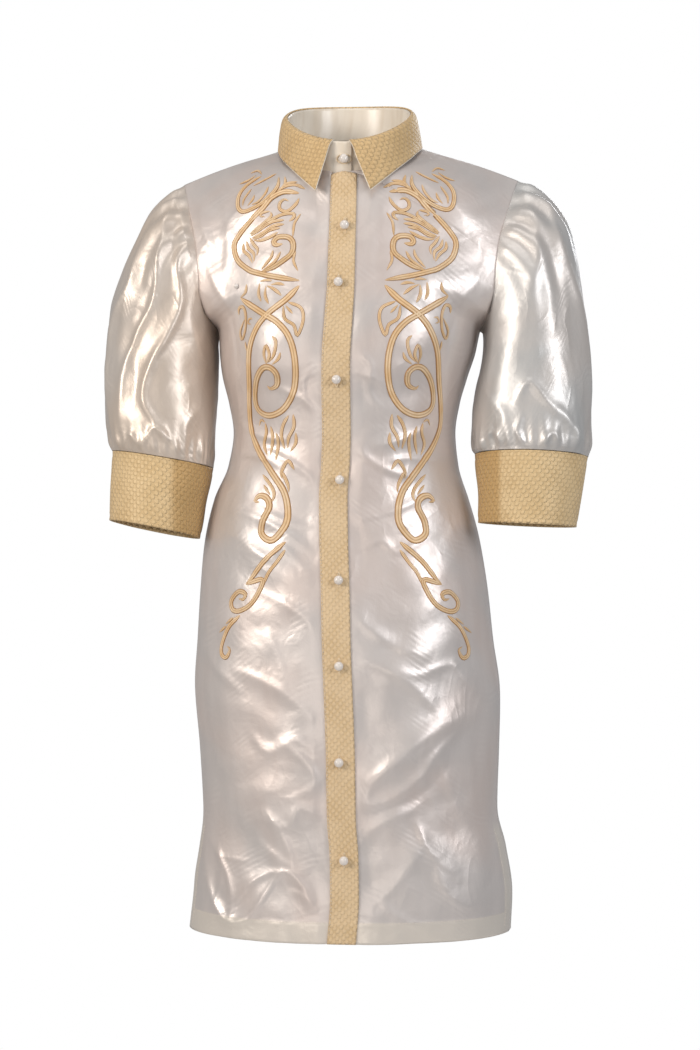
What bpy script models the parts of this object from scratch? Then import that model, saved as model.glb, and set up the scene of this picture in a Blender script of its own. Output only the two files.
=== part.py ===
"""Barong tagalog shirt dress, worn form, hollow: organza fronts and back, puff sleeves
with brocade cuffs, a two-piece collar, a brocade placket and nine pearl buttons.

Frame: metres, +Z up, +X to the wearer's left, the front of the garment towards -Y.
The origin is in the middle of the neck, level with the shoulder seams' neck ends.
Sizes below are in millimetres. Every cloth piece is an open surface worked out from
sections, then given its wall on the inner side.
"""

import bmesh
import bpy
import numpy as np

MM = 0.001

# ------------------------------------------------------------------ driving sizes
WALL = 1.5            # organza and lining, worked as one wall
CUFF_WALL = 2.0       # brocade on interfacing
COLLAR_WALL = 1.8
SEAM_GAP = 0.3        # between pieces sewn edge to edge
ARMHOLE_GAP = 0.6     # sleeve head to armhole, along X

NECK_HALF_WIDTH = 72.0
NECK_HALF_DEPTH = 74.0
NECK_CENTRE_Y = -12.0
SHOULDER_ANGLE = np.radians(99.3)    # round the neck from centre front

PLACKET_WIDTH_TOP = 30.0
PLACKET_WIDTH = 33.0
FRONT_EDGE = 14.0     # both front edges lie under the placket, this far to the right of centre

SLIT_TOP = -792.0
SLIT_SPREAD = 5.0     # how far each side of the slit stands off the side line
SLIT_EASE = 60.0      # and how far down it takes to get there

BUST_FULLNESS = 10.0  # what the darts give, at its fullest
BUST = dict(x=82.0, z=-232.0, wide=50.0, high=62.0)

PLACKET_LIFT = 0.6    # its wall clears the fronts' by this
PLACKET_DROP = 1.0    # below the collar stand's seam
FOLD_GROWTH = 1.5     # the collar's fold line stands out from the neck seam

BUTTON_RADIUS = 5.6
BUTTON_FLATNESS = 0.8
BUTTON_GAP = 0.7      # pearl to cloth, where its thread shank is

# Sections of the fronts, from the shoulder seam (row 0) to the hem. mid_* is the centre
# line, side_* the armhole edge and then the side seam; square and turn shape the curve
# between them; lean is how far the whole section hangs to one side.
BODY_COLUMN_NAMES = ("mid_y", "mid_z", "side_x", "side_y", "side_z", "square", "turn", "lean")
FRONT_SECTIONS = np.array([
    (-3.0, 5.0, 201.0, 4.0, -33.0, 1.6, 1.00, 0.0),
    (-38.0, -12.0, 194.0, -20.0, -56.0, 1.8, 1.00, 0.0),
    (-64.0, -24.0, 187.0, -40.0, -82.0, 2.0, 0.95, 0.0),
    (-80.0, -31.0, 180.0, -54.0, -110.0, 2.0, 0.88, 0.0),
    (-86.0, -33.0, 176.0, -61.0, -140.0, 2.1, 0.80, 0.0),
    (-98.0, -75.0, 174.0, -60.0, -168.0, 2.2, 0.72, 0.0),
    (-110.0, -120.0, 168.0, -44.0, -194.0, 2.3, 0.60, -0.5),
    (-119.0, -165.0, 157.0, 0.0, -213.0, 2.4, 0.50, -1.0),
    (-125.0, -205.0, 153.0, 0.0, -240.0, 2.4, 0.50, -3.0),
    (-126.0, -250.0, 146.0, 0.0, -270.0, 2.4, 0.50, -6.0),
    (-121.0, -290.0, 138.0, 0.0, -300.0, 2.3, 0.50, -6.6),
    (-114.0, -332.0, 133.0, 0.0, -334.0, 2.3, 0.50, -6.6),
    (-109.0, -373.0, 138.0, 0.0, -373.0, 2.3, 0.50, -8.0),
    (-110.0, -414.0, 153.0, 0.0, -414.0, 2.3, 0.50, -10.5),
    (-114.0, -462.0, 165.0, 0.0, -462.0, 2.3, 0.50, -9.6),
    (-119.0, -520.0, 172.5, 0.0, -520.0, 2.3, 0.50, -7.5),
    (-123.0, -580.0, 177.5, 0.0, -580.0, 2.3, 0.50, -6.0),
    (-125.0, -640.0, 183.0, 0.0, -640.0, 2.3, 0.50, -3.5),
    (-125.0, -710.0, 179.5, 0.0, -710.0, 2.3, 0.50, -1.0),
    (-124.0, -780.0, 176.5, 0.0, -780.0, 2.3, 0.50, 0.0),
    (-123.5, -825.0, 183.5, 0.0, -825.0, 2.3, 0.50, 3.0),
    (-123.0, -872.0, 190.5, 0.0, -872.0, 2.3, 0.50, 3.5),
    (-122.0, -923.5, 192.5, 0.0, -923.5, 2.3, 0.50, 0.0),
])
FRONT_NECK_ROW = 4

# The back's sections, read the same way; its neckline ends at the centre in row 2.
BACK_SECTIONS = np.array([
    (0.0, 5.0, 201.0, 4.0, -33.0, 1.6, 1.00, 0.0),
    (42.0, 22.0, 194.0, 27.0, -58.0, 1.8, 1.00, 0.0),
    (62.0, 30.0, 187.0, 45.0, -88.0, 2.2, 0.80, 0.0),
    (76.0, -10.0, 182.0, 55.0, -118.0, 2.4, 0.75, 0.0),
    (87.0, -55.0, 178.0, 57.0, -148.0, 2.4, 0.70, 0.0),
    (94.0, -100.0, 174.0, 46.0, -178.0, 2.4, 0.62, 0.0),
    (97.0, -145.0, 167.0, 26.0, -200.0, 2.4, 0.55, -0.5),
    (97.0, -185.0, 157.0, 0.0, -213.0, 2.4, 0.50, -1.0),
    (94.0, -222.0, 153.0, 0.0, -240.0, 2.4, 0.50, -3.0),
    (87.0, -262.0, 146.0, 0.0, -270.0, 2.4, 0.50, -6.0),
    (79.0, -300.0, 138.0, 0.0, -300.0, 2.3, 0.50, -6.6),
    (74.0, -334.0, 133.0, 0.0, -334.0, 2.3, 0.50, -6.6),
    (75.0, -373.0, 138.0, 0.0, -373.0, 2.3, 0.50, -8.0),
    (84.0, -414.0, 153.0, 0.0, -414.0, 2.3, 0.50, -10.5),
    (96.0, -462.0, 165.0, 0.0, -462.0, 2.3, 0.50, -9.6),
    (107.0, -520.0, 172.5, 0.0, -520.0, 2.3, 0.50, -7.5),
    (112.0, -580.0, 177.5, 0.0, -580.0, 2.3, 0.50, -6.0),
    (113.0, -640.0, 183.0, 0.0, -640.0, 2.3, 0.50, -3.5),
    (112.0, -710.0, 179.5, 0.0, -710.0, 2.3, 0.50, -1.0),
    (110.0, -780.0, 176.5, 0.0, -780.0, 2.3, 0.50, 0.0),
    (111.0, -825.0, 180.0, 0.0, -825.0, 2.3, 0.50, 1.0),
    (112.0, -872.0, 184.0, 0.0, -872.0, 2.3, 0.50, 1.0),
    (112.0, -923.5, 186.0, 0.0, -923.5, 2.3, 0.50, 0.0),
])
BACK_NECK_ROW = 2
ARMHOLE_ROWS = 7      # rows 0 to 7 of both tables end on the armhole

# Largest folds, as soft ridges from one end to the other across a panel.
FOLD_COLUMNS = ("from_x", "from_z", "to_x", "to_z", "width", "height")
FRONT_FOLDS = np.array([
    (-30.0, -420.0, -120.0, -330.0, 17.0, 2.6),
    (-28.0, -520.0, -140.0, -445.0, 18.0, 2.8),
    (28.0, -470.0, 130.0, -400.0, 16.0, 2.2),
    (40.0, -620.0, 168.0, -560.0, 20.0, 3.2),
    (45.0, -760.0, 170.0, -640.0, 22.0, 3.6),
    (-40.0, -700.0, -150.0, -640.0, 20.0, 2.4),
    (-165.0, -800.0, -70.0, -905.0, 17.0, 3.2),
    (70.0, -800.0, 170.0, -880.0, 20.0, 3.0),
    (-120.0, -130.0, -60.0, -215.0, 15.0, 1.8),
    (120.0, -130.0, 62.0, -215.0, 15.0, 1.8),
])
BACK_FOLDS = np.array([
    (-125.0, -300.0, -20.0, -360.0, 17.0, 2.8),
    (120.0, -310.0, 15.0, -385.0, 17.0, 2.8),
    (-20.0, -130.0, -120.0, -200.0, 18.0, 2.2),
    (30.0, -150.0, 125.0, -215.0, 18.0, 2.2),
    (-60.0, -480.0, -110.0, -880.0, 24.0, 3.4),
    (50.0, -500.0, 90.0, -890.0, 24.0, 3.6),
    (0.0, -620.0, 5.0, -900.0, 20.0, 2.4),
])

# Sections of each sleeve, armhole to cuff seam: outer and inner points in the front view
# (x is the distance from the middle), how far the ring reaches forward and back, and how
# far its front edge is tipped up.
SLEEVE_COLUMNS = ("out_x", "out_z", "in_x", "in_z", "front_y", "back_y", "tip")
SLEEVE_SECTIONS = {
    -1: np.array([
        (201.0, -33.0, 157.0, -213.0, -61.0, 57.0, 0.0),
        (216.0, -43.0, 159.0, -222.0, -66.0, 62.0, 0.0),
        (239.0, -66.0, 159.5, -233.0, -72.0, 66.0, 0.0),
        (257.0, -102.0, 159.5, -247.0, -76.0, 68.0, 0.0),
        (275.0, -142.0, 159.0, -262.0, -79.0, 68.0, 0.0),
        (288.0, -184.0, 158.0, -278.0, -82.0, 64.0, 0.0),
        (291.5, -230.0, 157.0, -295.0, -85.0, 60.0, 0.0),
        (292.5, -275.0, 157.0, -312.0, -88.0, 55.0, 0.5),
        (290.5, -318.0, 158.5, -337.0, -89.0, 49.0, 1.5),
        (286.0, -344.0, 161.0, -359.0, -88.0, 43.0, 2.5),
        (283.0, -355.7, 163.0, -375.2, -84.0, 38.0, 3.0),
    ]),
    1: np.array([
        (201.0, -33.0, 157.0, -213.0, -61.0, 57.0, 0.0),
        (220.0, -41.0, 159.0, -222.0, -66.0, 62.0, 0.0),
        (244.0, -63.0, 158.5, -233.0, -72.0, 66.0, 0.0),
        (262.0, -93.0, 157.0, -247.0, -76.0, 68.0, 0.0),
        (271.0, -131.0, 154.5, -262.0, -79.0, 68.0, 0.0),
        (277.0, -174.0, 151.0, -278.0, -82.0, 65.0, 0.0),
        (280.5, -216.0, 148.5, -295.0, -85.0, 61.0, 0.0),
        (284.5, -262.0, 147.0, -312.0, -88.0, 57.0, 1.0),
        (286.5, -312.0, 147.5, -331.0, -90.0, 52.0, 2.5),
        (286.5, -346.0, 149.0, -349.0, -90.0, 47.0, 4.5),
        (283.0, -364.3, 150.6, -360.3, -88.0, 42.0, 5.5),
    ]),
}
CUFF_SECTIONS = {
    -1: np.array([
        (283.0, -356.3, 163.0, -375.8, -84.0, 38.0, 3.0),
        (283.8, -398.0, 169.5, -418.0, -89.0, 28.0, 4.0),
        (284.0, -439.0, 177.0, -459.5, -93.0, 18.0, 5.0),
    ]),
    1: np.array([
        (283.0, -365.0, 150.6, -361.0, -88.0, 42.0, 5.5),
        (276.5, -406.0, 152.5, -402.0, -92.0, 31.0, 3.5),
        (269.5, -446.5, 155.5, -441.5, -94.0, 20.0, 2.0),
    ]),
}
HEAD_PLEATS = 9       # pleats across the sleeve head
HEAD_PLEAT_DEPTH = 3.4
CUFF_GATHERS = 10     # tucks where the sleeve meets its cuff
CUFF_GATHER_DEPTH = 2.4

# The collar leaf's lower edge, centre back to the point, as share of the way round.
LEAF_COLUMNS = ("share", "x", "y", "z")
LEAF_EDGE = np.array([
    (0.00, 0.0, 81.0, 19.0),
    (0.20, 42.0, 74.0, 18.5),
    (0.40, 74.0, 47.0, 16.0),
    (0.58, 85.5, 4.0, 7.5),
    (0.74, 78.0, -42.0, -9.0),
    (0.87, 60.0, -76.0, -30.0),
    (1.00, 31.5, -105.0, -58.0),
])
LEAF_END_X = {-1: 13.0, 1: 6.0}     # where each leaf starts on the fold, from the centre
STAND_OVER = 9.0      # the right end of the stand laps this far past the centre
STAND_UNDER = 17.0    # and the left end lies this far under it
STAND_TUCK = 2.4

# Buttons down the centre front: height and how far aside each one sits.
BUTTONS = (
    (-19.5, 0.0), (-99.0, 2.5), (-166.0, -2.5), (-278.0, 1.0), (-392.0, 6.5),
    (-507.0, 4.5), (-605.0, 2.5), (-715.0, -1.5), (-827.0, 0.0),
)

COLOURS = {
    "organza": ((0.74, 0.70, 0.67, 1.0), 0.32),
    "sleeve_organza": ((0.76, 0.73, 0.69, 1.0), 0.32),
    "brocade": ((0.78, 0.60, 0.33, 1.0), 0.55),
    "stand_satin": ((0.82, 0.74, 0.66, 1.0), 0.45),
    "pearl": ((0.90, 0.86, 0.78, 1.0), 0.18),
}


# ------------------------------------------------------------------ sections
def between(table, columns, at):
    """Each column of a table at the row numbers in `at`: cubic Hermite spans whose
    slopes are the harmonic mean of the two neighbouring steps, so nothing overshoots."""
    at = np.clip(np.asarray(at, float), 0.0, len(table) - 1.0)
    step = np.diff(table, axis=0)
    slope = np.zeros_like(table)
    same_way = step[1:] * step[:-1] > 0
    total = np.where(same_way, step[1:] + step[:-1], 1.0)
    slope[1:-1] = np.where(same_way, 2 * step[1:] * step[:-1] / total, 0.0)
    slope[0], slope[-1] = step[0], step[-1]
    row = np.minimum(at.astype(int), len(table) - 2)
    t = (at - row)[..., None]
    low, high = table[row], table[row + 1]
    value = (low * (1 + 2 * t) * (1 - t) ** 2 + slope[row] * t * (1 - t) ** 2
             + high * t * t * (3 - 2 * t) - slope[row + 1] * t * t * (1 - t))
    return {name: value[..., i] for i, name in enumerate(columns)}


def neck_line(angle, grow=0.0):
    """Neck seam: x = w sin(a), y = c - d cos(a), and z falls with cos(a) to the front."""
    x = (NECK_HALF_WIDTH + grow) * np.sin(angle)
    y = NECK_CENTRE_Y - (NECK_HALF_DEPTH + grow) * np.cos(angle)
    z = -0.8 - 31.5 * np.cos(angle) - 0.7 * np.cos(2 * angle)
    return np.stack([x, y, z], axis=-1)


def fold_line(angle):
    """Where the collar turns over: the neck line a little wider, 34 mm up at the front
    and 38 mm up at the back."""
    line = neck_line(angle, grow=FOLD_GROWTH)
    line[..., 2] = 39.6 - 33.5 * np.cos(angle) - 5.1 * np.cos(2 * angle)
    return line


def folds(x, z, table):
    """Sum of soft ridges: a Gaussian of the distance to each fold's line, faded out at
    both of its ends."""
    rise = np.zeros_like(x)
    for fold in table:
        f = dict(zip(FOLD_COLUMNS, fold))
        run = np.array([f["to_x"] - f["from_x"], f["to_z"] - f["from_z"]])
        length = np.hypot(*run)
        along = ((x - f["from_x"]) * run[0] + (z - f["from_z"]) * run[1]) / length
        across = ((x - f["from_x"]) * run[1] - (z - f["from_z"]) * run[0]) / length
        share = np.clip(along / length, 0.0, 1.0)
        rise += f["height"] * np.sin(np.pi * share) ** 0.8 * np.exp(-(across / f["width"]) ** 2)
    return rise


def skin(s, x, q, mid_y, mid_z, side, facing):
    """y and z of the cloth at x, q of the way out along its section: y eases from the
    middle to the side as (1 - q^square)^turn and z as q^1.4; then the bust and the folds.
    facing is -1 on the fronts and 1 on the back."""
    z = mid_z + (s["side_z"] - mid_z) * q ** 1.4
    y = s["side_y"] + (mid_y - s["side_y"]) * (1.0 - q ** s["square"]) ** s["turn"]
    table = FRONT_FOLDS if facing < 0 else BACK_FOLDS
    inside = np.clip(1.0 - q ** 6, 0.0, 1.0) * np.clip((-z - 60.0) / 60.0, 0.0, 1.0)
    y = y + facing * inside * folds(side * x, z, table)
    if facing < 0:
        y = y - BUST_FULLNESS * np.exp(-((np.abs(x) - BUST["x"]) / BUST["wide"]) ** 2
                                       - ((z - BUST["z"]) / BUST["high"]) ** 2)
    return y, z


def torso(table, neck_row, row, share, side, edge_x, neck_end, facing):
    """Points of one half of the fronts or the back. Down to neck_row a section starts on
    the neck seam, and below it at edge_x; it ends on the armhole or the side seam."""
    s = between(table, BODY_COLUMN_NAMES, row)
    round_neck = np.clip(row / neck_row, 0.0, 1.0)
    neck = neck_line(SHOULDER_ANGLE + (neck_end - SHOULDER_ANGLE) * round_neck)
    on_neck = row < neck_row
    start_x = np.where(on_neck, neck[..., 0], edge_x)
    base_x = np.where(on_neck, np.maximum(neck[..., 0], 0.0), 0.0)
    x = start_x + (s["side_x"] - start_x) * share
    q = np.clip(np.abs(x - base_x) / (s["side_x"] - base_x), 0.0, 1.0)
    mid_y = np.where(on_neck, neck[..., 1], s["mid_y"])
    mid_z = np.where(on_neck, neck[..., 2], s["mid_z"])
    y, z = skin(s, x, q, mid_y, mid_z, side, facing)
    slit = SLIT_SPREAD * np.clip((SLIT_TOP - z) / SLIT_EASE, 0.0, 1.0)
    y = y + facing * (SEAM_GAP / 2 + slit) * q ** 8
    y = y + facing * SEAM_GAP / 2 * np.clip(1.0 - row, 0.0, 1.0) * (1.0 - q ** 8)
    return np.stack([side * x + s["lean"], y, z], axis=-1)


def front_half(side, edge_x):
    """Grid of one front; edge_x is where its front edge lies, out from the centre."""
    row, share = np.meshgrid(BODY_ROWS, BODY_SHARES, indexing="ij")
    return torso(FRONT_SECTIONS, FRONT_NECK_ROW, row, share, side, edge_x,
                 np.arcsin(edge_x / NECK_HALF_WIDTH), -1.0)


def back_half(side):
    """Grid of one half of the back, from its centre line."""
    row, share = np.meshgrid(BODY_ROWS, BODY_SHARES, indexing="ij")
    return torso(BACK_SECTIONS, BACK_NECK_ROW, row, share, side, 0.0, np.pi, 1.0)


def down_the_front(row, x, stand_off):
    """Points near the centre front at x, moved out from the fronts by stand_off."""
    s = between(FRONT_SECTIONS, BODY_COLUMN_NAMES, row)
    q = np.abs(x) / s["side_x"]
    y, z = skin(s, np.abs(x), q, s["mid_y"], s["mid_z"], np.sign(x), -1.0)
    return np.stack([x + s["lean"], y - stand_off, z], axis=-1)


def armhole(angle, side):
    """The armhole, top (0) by the front (90 degrees) and under the arm (180) to the back."""
    front = between(FRONT_SECTIONS, BODY_COLUMN_NAMES, ARMHOLE_ROWS * angle / np.pi)
    back = between(BACK_SECTIONS, BODY_COLUMN_NAMES, ARMHOLE_ROWS * (2 - angle / np.pi))
    fore = angle <= np.pi
    x, y, z, lean = (np.where(fore, front[k], back[k]) for k in ("side_x", "side_y", "side_z", "lean"))
    return np.stack([side * (x + ARMHOLE_GAP) + lean, y, z], axis=-1)


def ring(sections, row, angle, side):
    """A tube's section: an ellipse between its outer and inner points, deep from front_y
    to back_y, with its front edge tipped up."""
    s = between(sections, SLEEVE_COLUMNS, row)
    out, depth = np.cos(angle), np.sin(angle)
    x = (s["out_x"] + s["in_x"]) / 2 + (s["out_x"] - s["in_x"]) / 2 * out
    z = (s["out_z"] + s["in_z"]) / 2 + (s["out_z"] - s["in_z"]) / 2 * out + s["tip"] * depth
    y = (s["front_y"] + s["back_y"]) / 2 - (s["back_y"] - s["front_y"]) / 2 * depth
    return np.stack([side * x, y, z], axis=-1)


def sleeve_surface(side, rows, angles):
    """Rings from the armhole to the cuff: each ring's ellipse, pulled onto the armhole at
    the top, with pleats fading down from the head and tucks at the cuff."""
    sections = SLEEVE_SECTIONS[side]
    row, angle = np.meshgrid(rows, angles, indexing="ij")
    points = ring(sections, row, angle, side)
    off = armhole(angle, side) - ring(sections, np.zeros_like(row), angle, side)
    points += off * (np.clip(1 - row / 3.0, 0.0, 1.0) ** 1.5)[..., None]
    last = len(sections) - 1.0
    middle = (ring(sections, row, np.zeros_like(angle), side)
              + ring(sections, row, np.full_like(angle, np.pi), side)) / 2
    away = points - middle
    away /= np.linalg.norm(away, axis=-1, keepdims=True)
    on_head = np.clip(np.cos(angle) + 0.25, 0.0, 1.0)
    pleats = HEAD_PLEAT_DEPTH * on_head * np.sin(HEAD_PLEATS * angle * 2)
    pleats *= np.clip(row / 0.8, 0, 1) * np.exp(-(row / 3.2) ** 2)
    tucks = CUFF_GATHER_DEPTH * np.sin(CUFF_GATHERS * angle + 0.6) * (0.7 + 0.3 * np.sin(3 * angle))
    tucks *= np.exp(-((row - last + 1.1) / 0.8) ** 2)
    return points + away * (pleats + tucks)[..., None]


# ------------------------------------------------------------------ meshes
def material(name, kind):
    """A Principled material of the cloth's colour and roughness."""
    look = bpy.data.materials.new(name)
    look.use_nodes = True
    shader = look.node_tree.nodes["Principled BSDF"]
    colour, roughness = COLOURS[kind]
    shader.inputs["Base Color"].default_value = colour
    shader.inputs["Roughness"].default_value = roughness
    shader.inputs["Metallic"].default_value = 0.0
    return look


def add_grid(bm, points, closed=False, flip=False):
    """Faces over a grid of points; a closed grid joins its last column to its first."""
    rows, columns = points.shape[:2]
    verts = [[bm.verts.new(p * MM) for p in line] for line in points]
    last = columns if closed else columns - 1
    for i in range(rows - 1):
        for j in range(last):
            k = (j + 1) % columns
            face = [verts[i][j], verts[i][k], verts[i + 1][k], verts[i + 1][j]]
            bm.faces.new(face[::-1] if flip else face)


def thicken(bm, wall, seam_level=None):
    """Give an open surface its wall, inwards along its normals. On edges where
    seam_level says so, the wall keeps to the seam's own plane (no step along Y)."""
    bmesh.ops.remove_doubles(bm, verts=bm.verts, dist=0.05 * MM)
    bm.normal_update()
    outer = list(bm.verts)
    inner = {}
    for v in outer:
        way = v.normal.copy()
        if v.is_boundary and seam_level and seam_level(v.co):
            way.y = 0.0
            way.normalize()
        inner[v] = bm.verts.new(v.co - way * (wall * MM))
    faces = list(bm.faces)
    rims = [(e, e.link_faces[0]) for e in bm.edges if e.is_boundary]
    for face in faces:
        bm.faces.new([inner[v] for v in reversed(face.verts)])
    for edge, face in rims:
        a, b = edge.verts
        order = list(face.verts)
        if order[(order.index(a) + 1) % len(order)] is not b:
            a, b = b, a
        bm.faces.new([b, a, inner[a], inner[b]])


def finish_piece(name, bm, kind, collection):
    """Put a finished mesh in the scene as one named object with its own material."""
    bmesh.ops.triangulate(bm, faces=bm.faces)
    mesh = bpy.data.meshes.new(name)
    bm.to_mesh(mesh)
    bm.free()
    mesh.shade_smooth()
    mesh.set_sharp_from_angle(angle=np.radians(50))
    mesh.materials.append(material(name + "_look", kind))
    piece = bpy.data.objects.new(name, mesh)
    collection.objects.link(piece)
    return piece


# ------------------------------------------------------------------ pieces
BODY_ROWS = np.concatenate([np.linspace(0, 7, 15), np.linspace(8, 22, 15)])
BODY_SHARES = np.linspace(0, 1, 9) ** 0.92
HEAD_ANGLES = np.linspace(0, 3, 13) / ARMHOLE_ROWS * np.pi
LOW_ANGLES = np.linspace(3.5, 7, 8) / ARMHOLE_ROWS * np.pi
HALF_RING = np.concatenate([HEAD_ANGLES, LOW_ANGLES])
RING_ANGLES = np.concatenate([HALF_RING, 2 * np.pi - HALF_RING[-2:0:-1]])


def on_side_or_shoulder(co):
    """True where a front meets the back, on the side line or along the shoulder."""
    x, y, z = co / MM
    on_shoulder = z > -33.6 and abs(y - 2.0) < 9.0 and abs(x) > 68.0
    on_side = z < -212.5 and abs(y) < SLIT_SPREAD + 1.0
    return on_shoulder or on_side


def make_front(name, side, edge_x, collection):
    bm = bmesh.new()
    add_grid(bm, front_half(side, edge_x), flip=side > 0)
    thicken(bm, WALL, on_side_or_shoulder)
    return finish_piece(name, bm, "organza", collection)


def make_back(name, collection):
    bm = bmesh.new()
    for side in (-1, 1):
        add_grid(bm, back_half(side), flip=side < 0)
    thicken(bm, WALL, on_side_or_shoulder)
    return finish_piece(name, bm, "organza", collection)


def make_sleeve(name, side, collection):
    rows = np.concatenate([[0.0, 0.7, 1.5, 2.5, 3.5], np.linspace(5, 9, 5), [10.0]])
    bm = bmesh.new()
    add_grid(bm, sleeve_surface(side, rows, RING_ANGLES), closed=True, flip=side < 0)
    thicken(bm, WALL)
    return finish_piece(name, bm, "sleeve_organza", collection)


def make_cuff(name, side, collection):
    row, angle = np.meshgrid([0.0, 2.0], RING_ANGLES, indexing="ij")
    bm = bmesh.new()
    add_grid(bm, ring(CUFF_SECTIONS[side], row, angle, side), closed=True, flip=side < 0)
    thicken(bm, CUFF_WALL)
    return finish_piece(name, bm, "brocade", collection)


def make_stand(name, collection):
    """A band from its left end, tucked under at the front, round the back of the neck to
    its right end, which laps over."""
    start = np.arcsin(STAND_UNDER / NECK_HALF_WIDTH)
    stop = 2 * np.pi + np.arcsin(STAND_OVER / NECK_HALF_WIDTH)
    angles = np.linspace(-start, stop, 37)
    tuck = STAND_TUCK * np.clip(1 - (angles + start) / 0.9, 0.0, 1.0) ** 0.7
    low, high = neck_line(angles), fold_line(angles)
    low[..., 2] += SEAM_GAP + 0.1
    out = np.stack([np.sin(angles), -np.cos(angles), np.zeros_like(angles)], axis=-1)
    share = np.linspace(0, 1, 3)[:, None, None]
    points = low * (1 - share) + high * share - out * tuck[:, None]
    bm = bmesh.new()
    add_grid(bm, points)
    thicken(bm, COLLAR_WALL)
    return finish_piece(name, bm, "stand_satin", collection)


def leaf_surface(shares, down):
    """The fall of the collar: from the fold it rolls up and over, then runs to its lower
    edge. shares run from the right point (-1) round the back (0) to the left point (1)."""
    share, u = np.meshgrid(shares, down, indexing="xy")
    t = np.abs(share)
    side = np.where(share < 0, -1.0, 1.0)
    end_x = np.where(share < 0, LEAF_END_X[-1], LEAF_END_X[1])
    angle = np.pi + (np.arcsin(end_x / NECK_HALF_WIDTH) - np.pi) * t
    fold = fold_line(angle)
    fold[..., 0] *= side
    fold[..., 2] += SEAM_GAP + 0.2
    rows = np.interp(t, LEAF_EDGE[:, 0], np.arange(len(LEAF_EDGE)))
    edge = between(LEAF_EDGE, LEAF_COLUMNS, rows)
    low = np.stack([side * edge["x"], edge["y"], edge["z"]], axis=-1)
    out = np.stack([side * np.sin(angle), -np.cos(angle), np.zeros_like(angle)], axis=-1)
    points = fold * (1 - u)[..., None] + low * u[..., None]
    points += out * (4.2 * np.sin(np.pi * np.clip(u, 0, 1) ** 0.55))[..., None]
    points[..., 2] += 2.2 * np.sin(np.pi * np.clip(u * 3.0, 0, 1))
    return points


def make_leaf(name, collection):
    shares = np.linspace(-1, 1, 31)
    down = np.array([0.0, 0.06, 0.16, 0.36, 0.68, 1.0])
    points = leaf_surface(shares, down)
    bm = bmesh.new()
    add_grid(bm, points, flip=True)
    thicken(bm, COLLAR_WALL)
    return finish_piece(name, bm, "brocade", collection)


def make_placket(name, collection):
    """A strip over both front edges, on the fronts' own rows."""
    rows = BODY_ROWS[BODY_ROWS >= FRONT_NECK_ROW]
    row, share = np.meshgrid(rows, np.linspace(-0.5, 0.5, 4), indexing="ij")
    widening = np.clip((row - FRONT_NECK_ROW) / 6.0, 0.0, 1.0)
    x = share * (PLACKET_WIDTH_TOP + (PLACKET_WIDTH - PLACKET_WIDTH_TOP) * widening)
    points = down_the_front(row, x, PLACKET_LIFT + WALL)
    points[0, :, 2] -= PLACKET_DROP
    bm = bmesh.new()
    add_grid(bm, points, flip=True)
    thicken(bm, WALL)
    return finish_piece(name, bm, "brocade", collection)


def make_button(name, drop, aside, collection):
    """A round pearl, a little flattened towards the cloth, just clear of what it closes."""
    mid_z = FRONT_SECTIONS[FRONT_NECK_ROW:, BODY_COLUMN_NAMES.index("mid_z")]
    row = np.interp(-drop, -mid_z, np.arange(FRONT_NECK_ROW, len(FRONT_SECTIONS)))
    seat = down_the_front(np.array(row), np.array(0.01), PLACKET_LIFT + WALL)
    if drop > mid_z[0]:
        seat[1] = NECK_CENTRE_Y - NECK_HALF_DEPTH - FOLD_GROWTH
    centre = seat + (aside, -BUTTON_RADIUS * BUTTON_FLATNESS - BUTTON_GAP, 0.0)
    centre[2] = drop
    bm = bmesh.new()
    bmesh.ops.create_uvsphere(bm, u_segments=12, v_segments=8, radius=BUTTON_RADIUS * MM)
    bmesh.ops.scale(bm, vec=(1.0, BUTTON_FLATNESS, 1.0), verts=bm.verts)
    bmesh.ops.translate(bm, vec=centre * MM, verts=bm.verts)
    return finish_piece(name, bm, "pearl", collection)


# ------------------------------------------------------------------ the garment
for old in list(bpy.data.objects):
    bpy.data.objects.remove(old, do_unlink=True)
garment = bpy.data.collections.new("barong_shirt_dress")
bpy.context.scene.collection.children.link(garment)

make_front("front_right", -1, FRONT_EDGE + SEAM_GAP, garment)
make_front("front_left", 1, -FRONT_EDGE, garment)
make_back("back", garment)
make_sleeve("sleeve_right", -1, garment)
make_sleeve("sleeve_left", 1, garment)
make_cuff("cuff_right", -1, garment)
make_cuff("cuff_left", 1, garment)
make_stand("collar_stand", garment)
make_leaf("collar_leaf", garment)
make_placket("placket", garment)
for number, (drop, aside) in enumerate(BUTTONS, start=1):
    make_button(f"pearl_button_{number}", drop, aside, garment)
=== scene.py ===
"""Barong tagalog shirt dress: the looks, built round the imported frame.

Metres, +Z up, the front faces -Y, +X to the wearer's left. Each section below makes one
piece or a group of like pieces, in the order in which the garment is put together.
Tables are in millimetres."""

import bpy
import numpy as np
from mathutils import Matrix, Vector
from mathutils.bvhtree import BVHTree


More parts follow.
